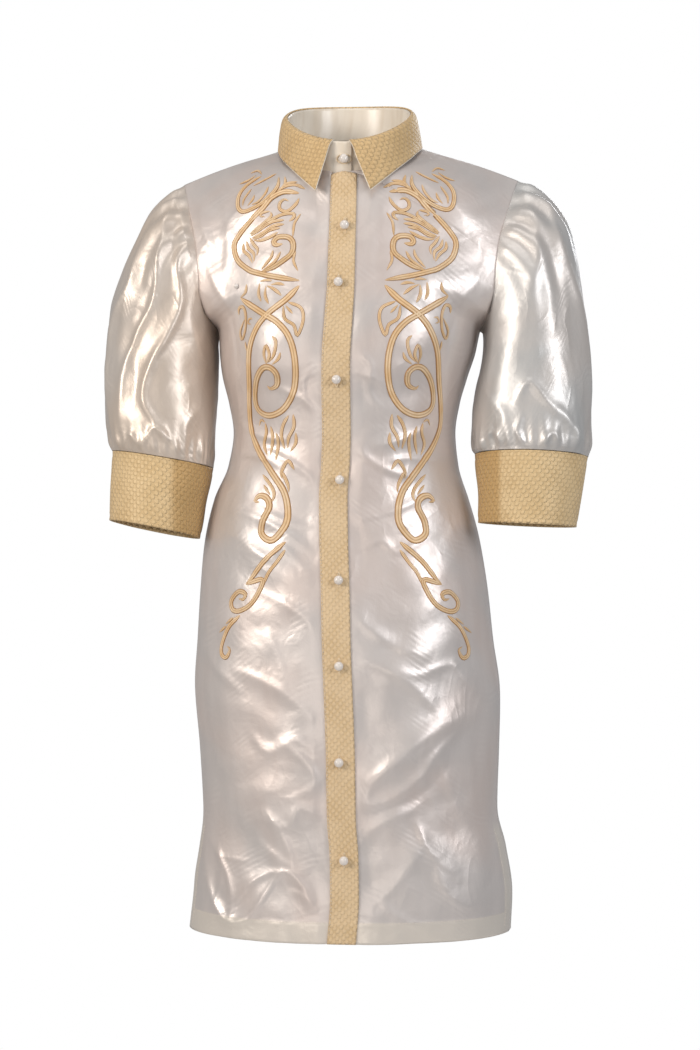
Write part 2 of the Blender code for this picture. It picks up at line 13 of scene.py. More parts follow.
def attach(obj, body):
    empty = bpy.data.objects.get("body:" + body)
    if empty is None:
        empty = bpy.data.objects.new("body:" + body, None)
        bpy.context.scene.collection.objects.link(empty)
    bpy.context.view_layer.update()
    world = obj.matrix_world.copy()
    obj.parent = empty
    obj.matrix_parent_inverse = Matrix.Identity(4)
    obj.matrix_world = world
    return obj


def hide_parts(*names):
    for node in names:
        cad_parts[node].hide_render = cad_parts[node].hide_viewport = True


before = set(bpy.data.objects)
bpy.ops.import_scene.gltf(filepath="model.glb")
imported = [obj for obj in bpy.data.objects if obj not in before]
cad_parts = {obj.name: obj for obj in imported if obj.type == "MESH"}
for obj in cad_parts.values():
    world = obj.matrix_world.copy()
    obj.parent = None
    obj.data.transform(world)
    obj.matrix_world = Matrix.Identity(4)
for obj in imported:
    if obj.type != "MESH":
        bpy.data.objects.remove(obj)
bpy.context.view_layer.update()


# ------------------------------------------------------------------ fronts and back
# Pearly silk organza over a close satin lining, cut as two fronts and one back, and worn
# hollow. The sections are those of the cut pieces; the creases are laid on them here.

MM = 0.001
SEAM_GAP = 0.3
NECK_HALF_WIDTH, NECK_HALF_DEPTH, NECK_CENTRE_Y = 72.0, 74.0, -12.0
SHOULDER_ANGLE = np.radians(99.3)
FOLD_GROWTH = 1.5
FRONT_EDGE = 14.0
SLIT_TOP, SLIT_SPREAD, SLIT_EASE = -792.0, 5.0, 60.0
HEM_LEVEL, HEM_DEPTH = -923.5, 25.0
BUST_FULLNESS = 10.0
BODY_UNEVENNESS = ((1.5, 110.0, 0.7), (0.3, 44.0, 1.0), (0.35, 84.0, 0.75))
BUST = dict(x=82.0, z=-232.0, wide=50.0, high=62.0)
CLOTH_WALL = 1.1
HEM_STEP, HEM_EDGE_BLUR = 0.9, 1.2      # the turned hem stands out, and where its mark fades
SLIT_FACING_SHARE = 0.955               # the slit facings start this far round to the side
WELD_GAP = 0.02                         # halves closer than this are one cloth

SECTION_NAMES = ("mid_y", "mid_z", "side_x", "side_y", "side_z", "square", "turn", "lean")
FRONT_SECTIONS = np.array([
    (-3, 5, 201, 4, -33, 1.6, 1.00, 0),
    (-38, -12, 194, -20, -56, 1.8, 1.00, 0),
    (-64, -24, 187, -40, -82, 2, 0.95, 0),
    (-80, -31, 180, -54, -110, 2, 0.88, 0),
    (-86, -33, 176, -61, -140, 2.1, 0.80, 0),
    (-98, -75, 174, -60, -168, 2.2, 0.72, 0),
    (-110, -120, 168, -44, -194, 2.3, 0.60, -0.5),
    (-119, -165, 157, 0, -213, 2.4, 0.50, -1),
    (-125, -205, 153, 0, -240, 2.4, 0.50, -3),
    (-126, -250, 146, 0, -270, 2.4, 0.50, -6),
    (-121, -290, 138, 0, -300, 2.3, 0.50, -6.6),
    (-114, -332, 133, 0, -334, 2.3, 0.50, -6.6),
    (-109, -373, 138, 0, -373, 2.3, 0.50, -8),
    (-110, -414, 153, 0, -414, 2.3, 0.50, -10.5),
    (-114, -462, 165, 0, -462, 2.3, 0.50, -9.6),
    (-119, -520, 172.5, 0, -520, 2.3, 0.50, -7.5),
    (-123, -580, 177.5, 0, -580, 2.3, 0.50, -6),
    (-125, -640, 183, 0, -640, 2.3, 0.50, -3.5),
    (-125, -710, 179.5, 0, -710, 2.3, 0.50, -1),
    (-124, -780, 176.5, 0, -780, 2.3, 0.50, 0),
    (-123.5, -825, 183.5, 0, -825, 2.3, 0.50, 3),
    (-123, -872, 190.5, 0, -872, 2.3, 0.50, 3.5),
    (-122, -923.5, 192.5, 0, -923.5, 2.3, 0.50, 0),
])
BACK_SECTIONS = np.array([
    (0, 5, 201, 4, -33, 1.6, 1.00, 0),
    (42, 22, 194, 27, -58, 1.8, 1.00, 0),
    (62, 30, 187, 45, -88, 2.2, 0.80, 0),
    (76, -10, 182, 55, -118, 2.4, 0.75, 0),
    (87, -55, 178, 57, -148, 2.4, 0.70, 0),
    (94, -100, 174, 46, -178, 2.4, 0.62, 0),
    (97, -145, 167, 26, -200, 2.4, 0.55, -0.5),
    (97, -185, 157, 0, -213, 2.4, 0.50, -1),
    (94, -222, 153, 0, -240, 2.4, 0.50, -3),
    (87, -262, 146, 0, -270, 2.4, 0.50, -6),
    (79, -300, 138, 0, -300, 2.3, 0.50, -6.6),
    (74, -334, 133, 0, -334, 2.3, 0.50, -6.6),
    (75, -373, 138, 0, -373, 2.3, 0.50, -8),
    (84, -414, 153, 0, -414, 2.3, 0.50, -10.5),
    (96, -462, 165, 0, -462, 2.3, 0.50, -9.6),
    (107, -520, 172.5, 0, -520, 2.3, 0.50, -7.5),
    (112, -580, 177.5, 0, -580, 2.3, 0.50, -6),
    (113, -640, 183, 0, -640, 2.3, 0.50, -3.5),
    (112, -710, 179.5, 0, -710, 2.3, 0.50, -1),
    (110, -780, 176.5, 0, -780, 2.3, 0.50, 0),
    (111, -825, 180, 0, -825, 2.3, 0.50, 1),
    (112, -872, 184, 0, -872, 2.3, 0.50, 1),
    (112, -923.5, 186, 0, -923.5, 2.3, 0.50, 0),
])
FRONT_NECK_ROW, BACK_NECK_ROW, ARMHOLE_ROWS, HEM_ROW = 4, 2, 7, 22

# Broad straight folds, as on the cut pieces, then the creases: from one end to the other,
# how far a crease's middle bows to one side, half width and height. A negative height is
# a trough.
FOLD_NAMES = ("from_x", "from_z", "to_x", "to_z", "width", "height")
CREASE_NAMES = ("from_x", "from_z", "to_x", "to_z", "bow", "width", "height")
FRONT_FOLDS = np.array([
    (-30, -420, -120, -330, 17, 2.6),
    (-28, -520, -140, -445, 18, 2.8),
    (28, -470, 130, -400, 16, 2.2),
    (40, -620, 168, -560, 20, 3.2),
    (45, -760, 170, -640, 22, 3.6),
    (-40, -700, -150, -640, 20, 2.4),
    (-165, -800, -70, -905, 17, 3.2),
    (70, -800, 170, -880, 20, 3),
    (-120, -130, -60, -215, 15, 1.8),
    (120, -130, 62, -215, 15, 1.8),
])
BACK_FOLDS = np.array([
    (-125, -300, -20, -360, 17, 2.8),
    (120, -310, 15, -385, 17, 2.8),
    (-20, -130, -120, -200, 18, 2.2),
    (30, -150, 125, -215, 18, 2.2),
    (-60, -480, -110, -880, 24, 3.4),
    (50, -500, 90, -890, 24, 3.6),
    (0, -620, 5, -900, 20, 2.4),
])
FRONT_CREASES = np.array([
    # drag lines from the placket, wearer's right
    (-17, -318, -78, -282, 5, 5, 1.6), (-17, -398, -104, -352, 7, 6, 2.4),
    (-19, -445, -96, -418, -6, 5, 1.8), (-22, -478, -126, -424, 8, 7, 2.6),
    (-24, -560, -92, -520, 5, 6, 2), (-26, -668, -128, -610, 9, 9, 2.6),
    (-20, -742, -74, -690, 6, 7, 2.4), (-40, -842, -104, -800, -8, 9, 2.2),
    (-18, -730, -64, -758, -5, 6, 2), (-60, -640, -84, -560, 5, 10, 2),
    # and the wearer's left
    (17, -268, 70, -300, -5, 5, 1.6), (18, -352, 96, -390, 8, 6, 2.2),
    (16, -438, 118, -402, 8, 7, 2), (14, -538, 108, -596, 10, 8, 2.4),
    (22, -596, 122, -672, -12, 10, 3.4), (16, -766, 156, -660, -14, 10, 5),
    (18, -742, 150, -652, 10, 9, 2.6), (20, -806, 96, -770, -8, 8, 2.4),
    (84, -776, 128, -846, 9, 9, 3.2), (30, -880, 98, -790, 9, 9, 2.4),
    # side pulls at the waist
    (-126, -322, -52, -346, 7, 5.5, 2.4), (-124, -362, -60, -380, -6, 5, 2),
    (112, -322, 40, -352, -7, 5.5, 2.2), (120, -372, 56, -372, 6, 5, 2),
    # the darts and the armhole drags
    (138, -183, 120, -262, 4, 3.6, -1.8), (-140, -188, -118, -268, -4, 3.6, -1.8),
    (-166, -120, -132, -196, 6, 6, 2.6), (166, -112, 138, -184, -6, 6, 2),
    (-176, -60, -150, -126, 8, 6, 2.6), (-150, -52, -142, -150, -8, 9, 1.8),
    (-74, -40, -140, -92, 6, 6, 1.4), (74, -40, 142, -88, -6, 6, 1.4),
    # hip and hem folds
    (130, -600, 176, -652, 6, 4, 2.6), (-170, -570, -112, -640, 8, 8, 2.2),
    (-172, -806, -136, -902, -13, 4, 3.6), (-136, -902, -68, -840, -15, 4.6, 3.4),
    (-154, -812, -160, -892, -8, 3.6, 2.4), (-164, -826, -110, -834, 2, 2.2, 1.2),
    (-68, -840, -36, -880, -5, 6, 2.4), (-58, -842, -92, -768, 6, 8, 2.2),
    (176, -806, 158, -870, -7, 6, -2.2), (104, -836, 150, -888, 10, 8, 3),
    (40, -872, 92, -902, 8, 6, 2.2), (-30, -886, -64, -862, 4, 6, 1.8),
])
# Curved ones: points (x, z) from one end to the other, half width, height.
FRONT_CURVES = [
    ([(-176, -802), (-165, -868), (-142, -902), (-114, -899), (-92, -868), (-72, -843),
      (-52, -856), (-40, -884)], 4.6, 4.2),
    ([(-168, -812), (-150, -872), (-128, -884), (-104, -858)], 9.0, -2.2),
    ([(18, -760), (48, -762), (89, -735), (112, -704), (154, -661)], 6.5, 3.6),
    ([(20, -700), (70, -690), (112, -668), (150, -640)], 12.0, 2.6),
    ([(30, -776), (88, -752), (126, -716)], 9.0, -2.4),
    ([(112, -700), (128, -760), (150, -812)], 7.0, 2.4),
    ([(64, -606), (92, -616), (132, -604), (158, -628)], 5.0, 2.2),
    ([(-24, -706), (-52, -690), (-84, -704), (-110, -680)], 7.0, 2.4),
    ([(-20, -780), (-48, -768), (-62, -790), (-88, -784)], 6.0, 2.2),
    ([(-30, -498), (-60, -470), (-78, -482), (-118, -456)], 5.0, 2.0),
    ([(20, -476), (52, -462), (74, -474), (118, -452)], 5.0, 1.8),
    ([(22, -244), (40, -262), (38, -290), (52, -312)], 5.0, 1.8),
    ([(-24, -262), (-38, -280), (-34, -306)], 5.0, 1.6),
]
BACK_CREASES = np.array([
    (-128, -318, -44, -344, 8, 4.5, 1.9), (118, -316, 30, -350, -8, 4.5, 1.8),
    (-132, -366, -58, -380, -6, 4.5, 1.6), (122, -370, 40, -392, 7, 5, 1.6),
    (-70, -300, 44, -322, 12, 6, 1.7), (-160, -150, -92, -232, 9, 5, 1.8),
    (158, -140, 88, -226, -9, 5, 1.8), (-20, -70, -98, -60, 6, 7, 1.4),
    (24, -66, 104, -70, -6, 7, 1.4), (-118, -540, -36, -612, 14, 8, 2.3),
    (128, -560, 50, -640, -12, 8, 2.2), (-150, -700, -82, -776, 10, 7, 2),
    (146, -690, 70, -770, -10, 7, 2), (-30, -760, 36, -842, 12, 8, 2),
    (-140, -836, -84, -892, -10, 5, 2.2), (132, -826, 84, -890, 10, 5, 2.2),
])


def between(table, names, at):
    """Each column of a table at the row numbers in `at`: cubic Hermite spans whose
    slopes are the harmonic mean of the two neighbouring steps, so nothing overshoots."""
    at = np.clip(np.asarray(at, float), 0.0, len(table) - 1.0)
    step = np.diff(table, axis=0)
    slope = np.zeros_like(table)
    same_way = step[1:] * step[:-1] > 0
    total = np.where(same_way, step[1:] + step[:-1], 1.0)
    slope[1:-1] = np.where(same_way, 2 * step[1:] * step[:-1] / total, 0.0)
    slope[0], slope[-1] = step[0], step[-1]
    row = np.minimum(at.astype(int), len(table) - 2)
    t = (at - row)[..., None]
    low, high = table[row], table[row + 1]
    value = (low * (1 + 2 * t) * (1 - t) ** 2 + slope[row] * t * (1 - t) ** 2
             + high * t * t * (3 - 2 * t) - slope[row + 1] * t * t * (1 - t))
    return {name: value[..., i] for i, name in enumerate(names)}


def neck_line(angle, grow=0.0):
    """Neck seam: x = w sin(a), y = c - d cos(a), and z falls with cos(a) to the front."""
    x = (NECK_HALF_WIDTH + grow) * np.sin(angle)
    y = NECK_CENTRE_Y - (NECK_HALF_DEPTH + grow) * np.cos(angle)
    z = -0.8 - 31.5 * np.cos(angle) - 0.7 * np.cos(2 * angle)
    return np.stack([x, y, z], axis=-1)


def folds(x, z, table, crisp=False):
    """Sum of ridges, each a power of sin(pi t) high along its length. Soft ones are
    straight and Gaussian across; crisp ones are bowed and 1 / (1 + d^2)^1.5 across,
    steeper on their upper side."""
    rise = np.zeros_like(x)
    for fold in table:
        f = dict(zip(CREASE_NAMES if crisp else FOLD_NAMES, fold))
        run = np.array([f["to_x"] - f["from_x"], f["to_z"] - f["from_z"]])
        length = np.hypot(*run)
        along = ((x - f["from_x"]) * run[0] + (z - f["from_z"]) * run[1]) / length
        across = ((x - f["from_x"]) * run[1] - (z - f["from_z"]) * run[0]) / length
        share = np.clip(along / length, 0.0, 1.0)
        if crisp:
            d = (across - f["bow"] * 4 * share * (1 - share)) / f["width"]
            d = np.where(d > 0, d * 1.5, d * 0.8)
            rise += f["height"] * np.sin(np.pi * share) ** 0.7 / (1 + d * d) ** 1.5
        else:
            d = across / f["width"]
            rise += f["height"] * np.sin(np.pi * share) ** 0.8 * np.exp(-d * d)
    return rise


def smooth_line(points, step):
    """Catmull-Rom curve through the points, resampled evenly about every step."""
    p = np.asarray(points, float)
    p = np.concatenate([[2 * p[0] - p[1]], p, [2 * p[-1] - p[-2]]])
    t = np.linspace(0, 1, 16, endpoint=False)[:, None]
    spans = [0.5 * (2 * b + (c - a) * t + (2 * a - 5 * b + 4 * c - d) * t ** 2
                    + (3 * b - a - 3 * c + d) * t ** 3)
             for a, b, c, d in zip(p[:-3], p[1:-2], p[2:-1], p[3:])]
    curve = np.concatenate(spans + [p[-2:-1]])
    length = np.concatenate([[0], np.cumsum(np.linalg.norm(np.diff(curve, axis=0), axis=1))])
    even = np.linspace(0, length[-1], max(int(length[-1] / step) + 1, 4))
    return np.stack([np.interp(even, length, curve[:, k]) for k in range(curve.shape[1])], axis=-1)


def creases(x, z, table):
    """Sum of ridges along smooth lines: 1 / (1 + d^2)^1.5 across, where d is the distance
    from the line over its half width, and sin(pi t)^0.6 along."""
    rise = np.zeros_like(x)
    for points, width, height in table:
        line = smooth_line(points, 1.5)
        gap = np.hypot(x[..., None] - line[:, 0], z[..., None] - line[:, 1])
        near = gap.argmin(axis=-1)
        share = np.clip(near / (len(line) - 1.0), 0.02, 0.98)
        rise += height * np.sin(np.pi * share) ** 0.6 / (1 + (gap.min(axis=-1) / width) ** 2) ** 1.5
    return rise


def rumple(a, b, size, seed, waves=9):
    """A smooth uneven field of about +-1: the mean of sine waves of nearly one length,
    each with its own heading and phase from the seed."""
    draw = np.random.default_rng(seed)
    heading = draw.uniform(0, 2 * np.pi, waves)
    length = size * draw.uniform(0.75, 1.4, waves)
    phase = draw.uniform(0, 2 * np.pi, waves)
    total = np.zeros_like(a)
    for h, l, p in zip(heading, length, phase):
        total += np.sin(2 * np.pi * (a * np.cos(h) + b * np.sin(h)) / l + p)
    return total * (2.0 / waves) ** 0.5


def crumple(a, b, size, seed):
    """Thin wandering creases: (1 - |field|)^4 along the field's zero lines, kept to
    patches by a second, wider field."""
    wander = 0.35 * size * rumple(a, b, size * 1.7, seed + 1)
    field = rumple(a + wander, b - wander, size, seed + 2)
    patch = np.clip(0.25 + 0.8 * rumple(a, b, size * 2.6, seed + 3), 0.0, 1.0)
    return patch * np.clip(1.0 - np.abs(field), 0.0, 1.0) ** 4.0


def unevenness(a, z, seed, slow, quick, creased):
    """Slow rumples, quick rumples and thin creases added up. Each is (height, length,
    how much z counts), so a small last number draws it out downwards."""
    return (slow[0] * rumple(a, z * slow[2], slow[1], seed)
            + quick[0] * rumple(a, z * quick[2], quick[1], seed + 20)
            + creased[0] * crumple(a, z * creased[2], creased[1], seed + 40))


def skin(s, x, q, mid_y, mid_z, side, facing):
    """y and z of the cloth at x, q of the way out along its section: y eases from the
    middle to the side as (1 - q^square)^turn and z as q^1.4; then the bust, the folds,
    the creases and the doubled hem. facing is -1 on the fronts and 1 on the back."""
    z = mid_z + (s["side_z"] - mid_z) * q ** 1.4
    y = s["side_y"] + (mid_y - s["side_y"]) * (1.0 - q ** s["square"]) ** s["turn"]
    broad, fine = (FRONT_FOLDS, FRONT_CREASES) if facing < 0 else (BACK_FOLDS, BACK_CREASES)
    inside = np.clip(1.0 - q ** 6, 0.0, 1.0) * np.clip((-z - 60.0) / 60.0, 0.0, 1.0)
    across = side * x
    rise = inside * folds(across, z, broad)
    if facing < 0:
        y = y - BUST_FULLNESS * np.exp(-((np.abs(x) - BUST["x"]) / BUST["wide"]) ** 2
                                       - ((z - BUST["z"]) / BUST["high"]) ** 2)
    # The creases fade towards the side seam, the shoulder and the strip under the placket.
    free = np.clip((1.0 - q) * 6.0, 0.0, 1.0) * np.clip((-z - 15.0) / 50.0, 0.0, 1.0)
    if facing < 0:
        free = free * np.clip((np.abs(x) - 15.0) / 16.0, 0.12, 1.0)
        rise += free * creases(across, z, FRONT_CURVES)
    seed = 43 + int(facing)
    rise += free * (folds(across, z, fine, crisp=True)
                    + unevenness(across, z, seed, *BODY_UNEVENNESS))
    hem = HEM_LEVEL + HEM_DEPTH
    rise += HEM_STEP / (1.0 + np.exp(np.clip((z - hem) * 2.2, -30.0, 30.0)))
    rise += 0.25 * np.clip((hem + 4 - z) / 8.0, 0, 1) * rumple(across, z * 0.2, 26.0, seed + 60)
    return y + facing * rise, z


def torso(table, neck_row, row, share, side, edge_x, neck_end, facing):
    """Points of one half of the fronts or the back. Down to neck_row a section starts on
    the neck seam, and below it at edge_x; it ends on the armhole or the side seam."""
    s = between(table, SECTION_NAMES, row)
    round_neck = np.clip(row / neck_row, 0.0, 1.0)
    neck = neck_line(SHOULDER_ANGLE + (neck_end - SHOULDER_ANGLE) * round_neck)
    on_neck = row < neck_row
    start_x = np.where(on_neck, neck[..., 0], edge_x)
    base_x = np.where(on_neck, np.maximum(neck[..., 0], 0.0), 0.0)
    x = start_x + (s["side_x"] - start_x) * share
    q = np.clip(np.abs(x - base_x) / (s["side_x"] - base_x), 0.0, 1.0)
    mid_y = np.where(on_neck, neck[..., 1], s["mid_y"])
    mid_z = np.where(on_neck, neck[..., 2], s["mid_z"])
    y, z = skin(s, x, q, mid_y, mid_z, side, facing)
    slit = SLIT_SPREAD * np.clip((SLIT_TOP - z) / SLIT_EASE, 0.0, 1.0)
    y = y + facing * (SEAM_GAP / 2 + slit) * q ** 8
    y = y + facing * SEAM_GAP / 2 * np.clip(1.0 - row, 0.0, 1.0) * (1.0 - q ** 8)
    return np.stack([side * x + s["lean"], y, z], axis=-1)


def laid_out(points):
    """The grid's own flat measures in metres: length along each row from its start, and
    length down each column from the top."""
    along = np.zeros(points.shape[:2])
    along[:, 1:] = np.cumsum(np.linalg.norm(np.diff(points, axis=1), axis=-1), axis=1)
    down = np.zeros(points.shape[:2])
    down[1:] = np.cumsum(np.linalg.norm(np.diff(points, axis=0), axis=-1), axis=0)
    return np.stack([along, down], axis=-1) * MM


def sheet_mesh(name, grids, look, closed=False, wall=CLOTH_WALL, across=None):
    """One piece from (grid of points in millimetres, turned over or not) pairs: quads over
    each grid, a UV map of its flat measures (or of `across` along the rows), welded where
    grids meet, and its wall grown inwards by Solidify."""
    co, faces, flat = [], [], []
    start = 0
    for points, turned in grids:
        rows, columns = points.shape[:2]
        index = np.arange(rows * columns).reshape(rows, columns) + start
        if closed:
            index = np.concatenate([index, index[:, :1]], axis=1)
            points_for_uv = np.concatenate([points, points[:, :1]], axis=1)
        else:
            points_for_uv = points
        measure = laid_out(points_for_uv)
        if across is not None:
            measure[..., 0] = across
        corners = [(slice(None, -1), slice(None, -1)), (slice(None, -1), slice(1, None)),
                   (slice(1, None), slice(1, None)), (slice(1, None), slice(None, -1))]
        if turned:
            corners = corners[::-1]
        faces.append(np.stack([index[c] for c in corners], axis=-1).reshape(-1, 4))
        flat.append(np.stack([measure[c] for c in corners], axis=2).reshape(-1, 2))
        co.append(points.reshape(-1, 3) * MM)
        start += rows * columns
    co, faces, flat = np.concatenate(co), np.concatenate(faces), np.concatenate(flat)
    mesh = bpy.data.meshes.new(name)
    mesh.vertices.add(len(co))
    mesh.vertices.foreach_set("co", co.ravel())
    mesh.loops.add(faces.size)
    mesh.loops.foreach_set("vertex_index", faces.ravel())
    mesh.polygons.add(len(faces))
    mesh.polygons.foreach_set("loop_start", np.arange(len(faces)) * 4)
    mesh.update(calc_edges=True)
    mesh.uv_layers.new(name="cloth").data.foreach_set("uv", flat.ravel())
    mesh.shade_smooth()
    mesh.materials.append(look)
    piece = bpy.data.objects.new(name, mesh)
    bpy.context.collection.objects.link(piece)
    if wall and len(grids) > 1:
        weld = piece.modifiers.new("join", "WELD")
        weld.merge_threshold = WELD_GAP * MM
    if wall:
        thick = piece.modifiers.new("wall", "SOLIDIFY")
        thick.thickness, thick.offset = wall * MM, -1.0
    return piece


class Wire:
    """An output socket of a material's node, with arithmetic."""

    def __init__(self, look, socket):
        self.look = look
        self.socket = socket

    def maths(self, operation, first, second):
        """A Math node on two wires or numbers."""
        return self.look.node("Math", {"operation": operation}, {0: first, 1: second})

    def __add__(self, other):
        return self.maths("ADD", self, other)

    def __radd__(self, other):
        return self.maths("ADD", other, self)

    def __sub__(self, other):
        return self.maths("SUBTRACT", self, other)

    def __rsub__(self, other):
        return self.maths("SUBTRACT", other, self)

    def __mul__(self, other):
        return self.maths("MULTIPLY", self, other)

    def __rmul__(self, other):
        return self.maths("MULTIPLY", other, self)

    def __pow__(self, other):
        return self.maths("POWER", self, other)

    def wave(self):
        """0 at whole numbers and 1 half way between them, as a triangle."""
        return self.maths("PINGPONG", self * 2.0, 1.0)

    def ramp(self, low, high):
        """0 below low, 1 above high, smooth between."""
        return self.look.node("MapRange", {"interpolation_type": "SMOOTHSTEP"},
                              {0: self, 1: low, 2: high, 3: 0.0, 4: 1.0})


class Look:
    """A material round one Principled shader: constants are set on it, wires feed it."""

    def __init__(self, name, **constants):
        self.material = bpy.data.materials.new(name)
        self.material.use_nodes = True
        self.tree = self.material.node_tree
        self.shader = self.tree.nodes["Principled BSDF"]
        for socket, value in constants.items():
            self.shader.inputs[socket.replace("_", " ")].default_value = value

    def node(self, kind, settings, inputs, output=0):
        """Any other node: its settings, then its inputs. One of its outputs comes back."""
        node = self.tree.nodes.new("ShaderNode" + kind)
        for setting, value in settings.items():
            setattr(node, setting, value)
        for socket, value in inputs.items():
            if isinstance(value, Wire):
                self.tree.links.new(value.socket, node.inputs[socket])
            else:
                node.inputs[socket].default_value = value
        return Wire(self, node.outputs[output])

    def place(self, kind, output, *stretch):
        """Object or UV coordinates, stretched."""
        where = self.node(kind, {}, {}, output)
        return self.node("VectorMath", {"operation": "MULTIPLY"}, {0: where, 1: stretch}, 0)

    def noise(self, where, scale, detail=2.0, twist=0.0):
        """Smooth noise from 0 to 1; a larger scale is finer."""
        return self.node("TexNoise", {}, {"Vector": where, "Scale": scale, "Detail": detail,
                                          "Distortion": twist}, 0)

    def mix(self, share, low, high):
        """A colour between two colours."""
        return self.node("Mix", {"data_type": "RGBA"}, {0: share, 6: low, 7: high}, 2)

    def feed(self, socket, wire):
        """Link a wire to one of the shader's sockets."""
        self.tree.links.new(wire.socket, self.shader.inputs[socket])

    def bump(self, height, depth, below=None):
        """Raise the surface by height times depth, in metres, over another bump."""
        inputs = {"Height": height, "Distance": depth, "Strength": 1.0}
        if below:
            inputs["Normal"] = below
        return self.node("Bump", {}, inputs, 0)


def rgb(red, green, blue):
    """An opaque colour, linear."""
    return (red, green, blue, 1.0)


def organza(name, warm, cool, satin, hemmed=False):
    """Sheer silk over satin: two pearly tones drifting into each other, watered ripples
    where the two layers lie close, and a fine plain weave. Hems show three layers."""
    look = Look(name, Metallic=0.36, Sheen_Weight=0.2, Sheen_Roughness=0.35,
                Sheen_Tint=rgb(1.0, 0.94, 0.9), Coat_Roughness=0.25, Specular_IOR_Level=0.6)
    where = look.place("TexCoord", "Object", 1.0, 1.0, 1.0)
    cloth = look.place("UVMap", "UV", 1.0, 1.0, 1.0)
    drift = look.noise(where, 7.0, 2.0, 0.6).ramp(0.36, 0.64)
    streak = look.noise(look.place("UVMap", "UV", 9.0, 1.6, 1.0), 5.0, 3.0).ramp(0.3, 0.75)
    tone = look.mix(drift, warm, cool)
    pale = look.mix(streak * 0.35, tone, satin)
    water = look.noise(cloth, 22.0, 1.0)
    ripple = look.node("TexWave", {"bands_direction": "Y"}, {
        "Vector": cloth, "Scale": 42.0, "Distortion": 6.0, "Detail": 1.0,
        "Detail Scale": 0.35}, 1)
    watered = ripple * water.ramp(0.5, 0.75)
    shade = look.mix(watered * 0.25, pale, satin)
    if hemmed:
        doubled = look.node("Attribute", {"attribute_name": "hem"}, {}, 2)
        shade = look.mix(doubled * 0.75, shade, rgb(0.76, 0.69, 0.60))
    look.feed("Base Color", shade)
    look.feed("Roughness", 0.3 + 0.2 * look.noise(where, 26.0, 3.0))
    look.feed("Coat Weight", 0.06 + 0.18 * streak)
    weave = look.noise(look.place("UVMap", "UV", 1.0, 0.22, 1.0), 900.0, 1.0)
    thread = look.noise(look.place("UVMap", "UV", 0.22, 1.0, 1.0), 900.0, 1.0)
    fine = look.bump(weave + thread, 0.00006)
    slack = look.bump(look.noise(where, 90.0, 2.0, 1.0), 0.0002, fine)
    soft = look.bump(look.noise(where, 30.0, 2.0, 0.8), 0.0010, slack)
    kept = look.noise(where, 11.0, 1.0).ramp(0.42, 0.62)
    vein = look.noise(look.place("TexCoord", "Object", 1.0, 1.0, 0.6), 17.0, 2.0, 0.6).wave() ** 4.0
    soft = look.bump(vein * kept, 0.0006, soft)
    look.feed("Normal", look.bump(watered, 0.00014, soft))
    return look.material


front_look = organza("organza_fronts", rgb(0.66, 0.565, 0.515), rgb(0.61, 0.56, 0.53),
                     rgb(0.77, 0.695, 0.65), hemmed=True)
back_look = organza("organza_back", rgb(0.68, 0.60, 0.55), rgb(0.62, 0.59, 0.57),
                    rgb(0.78, 0.715, 0.67), hemmed=True)



def body_rows(above, below):
    """Row numbers of a half's grid: closer from the shoulder to the underarm, and then
    even down to the hem."""
    return np.concatenate([np.linspace(0, ARMHOLE_ROWS, above, endpoint=False),
                           np.linspace(ARMHOLE_ROWS, HEM_ROW, below)])


FRONT_ROWS = body_rows(110, 270)
BACK_ROWS = body_rows(86, 210)
BODY_SHARES = np.linspace(0, 1, 80) ** 0.94


def body_half(rows, table, neck_row, side, edge_x, neck_end, facing):
    """The grid of one half of the fronts or the back, wearer's right (-1) or left (1)."""
    row, share = np.meshgrid(rows, BODY_SHARES, indexing="ij")
    return torso(table, neck_row, row, share, side, edge_x, neck_end, facing)


def mark_hems(piece, grids):
    """A number at each point: 1 on the turned hem and along both slits, 0 elsewhere."""
    share = np.broadcast_to(BODY_SHARES, grids[0].shape[:2])
    facing = share > SLIT_FACING_SHARE
    marks = []
    for grid in grids:
        z = grid[..., 2]
        on_hem = np.clip((HEM_LEVEL + HEM_DEPTH - z) / HEM_EDGE_BLUR + 0.5, 0, 1)
        on_slit = facing * np.clip((SLIT_TOP - z) / 12.0, 0, 1)
        marks.append((on_hem + on_slit).ravel())
    values = np.clip(np.concatenate(marks), 0.0, 1.0)
    piece.data.attributes.new("hem", "FLOAT", "POINT").data.foreach_set("value", values)


front_cut = {-1: FRONT_EDGE + SEAM_GAP, 1: -FRONT_EDGE}
fronts = {}
for side, name in ((-1, "front_right"), (1, "front_left")):
    neck_end = np.arcsin(front_cut[side] / NECK_HALF_WIDTH)
    half = body_half(FRONT_ROWS, FRONT_SECTIONS, FRONT_NECK_ROW, side, front_cut[side], neck_end,
                     -1.0)
    fronts[side] = sheet_mesh(name + "_cloth", [(half, side > 0)], look=front_look)
    mark_hems(fronts[side], [half])
    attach(fronts[side], "root")
    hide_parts(name)

halves = [(body_half(BACK_ROWS, BACK_SECTIONS, BACK_NECK_ROW, side, 0.0, np.pi, 1.0), side < 0)
          for side in (-1, 1)]
back = sheet_mesh("back_cloth", halves, look=back_look)
mark_hems(back, [half for half, turned in halves])
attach(back, "root")
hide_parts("back")


# ------------------------------------------------------------------ sleeves
# The same organza, unlined below the head, cut full and pleated into the armhole, and
# gathered again into the cuff. Long creases fall from the head pleats; the wearer's right
# sleeve has the deeper ones. Each crease is a line of points as seen from the front.

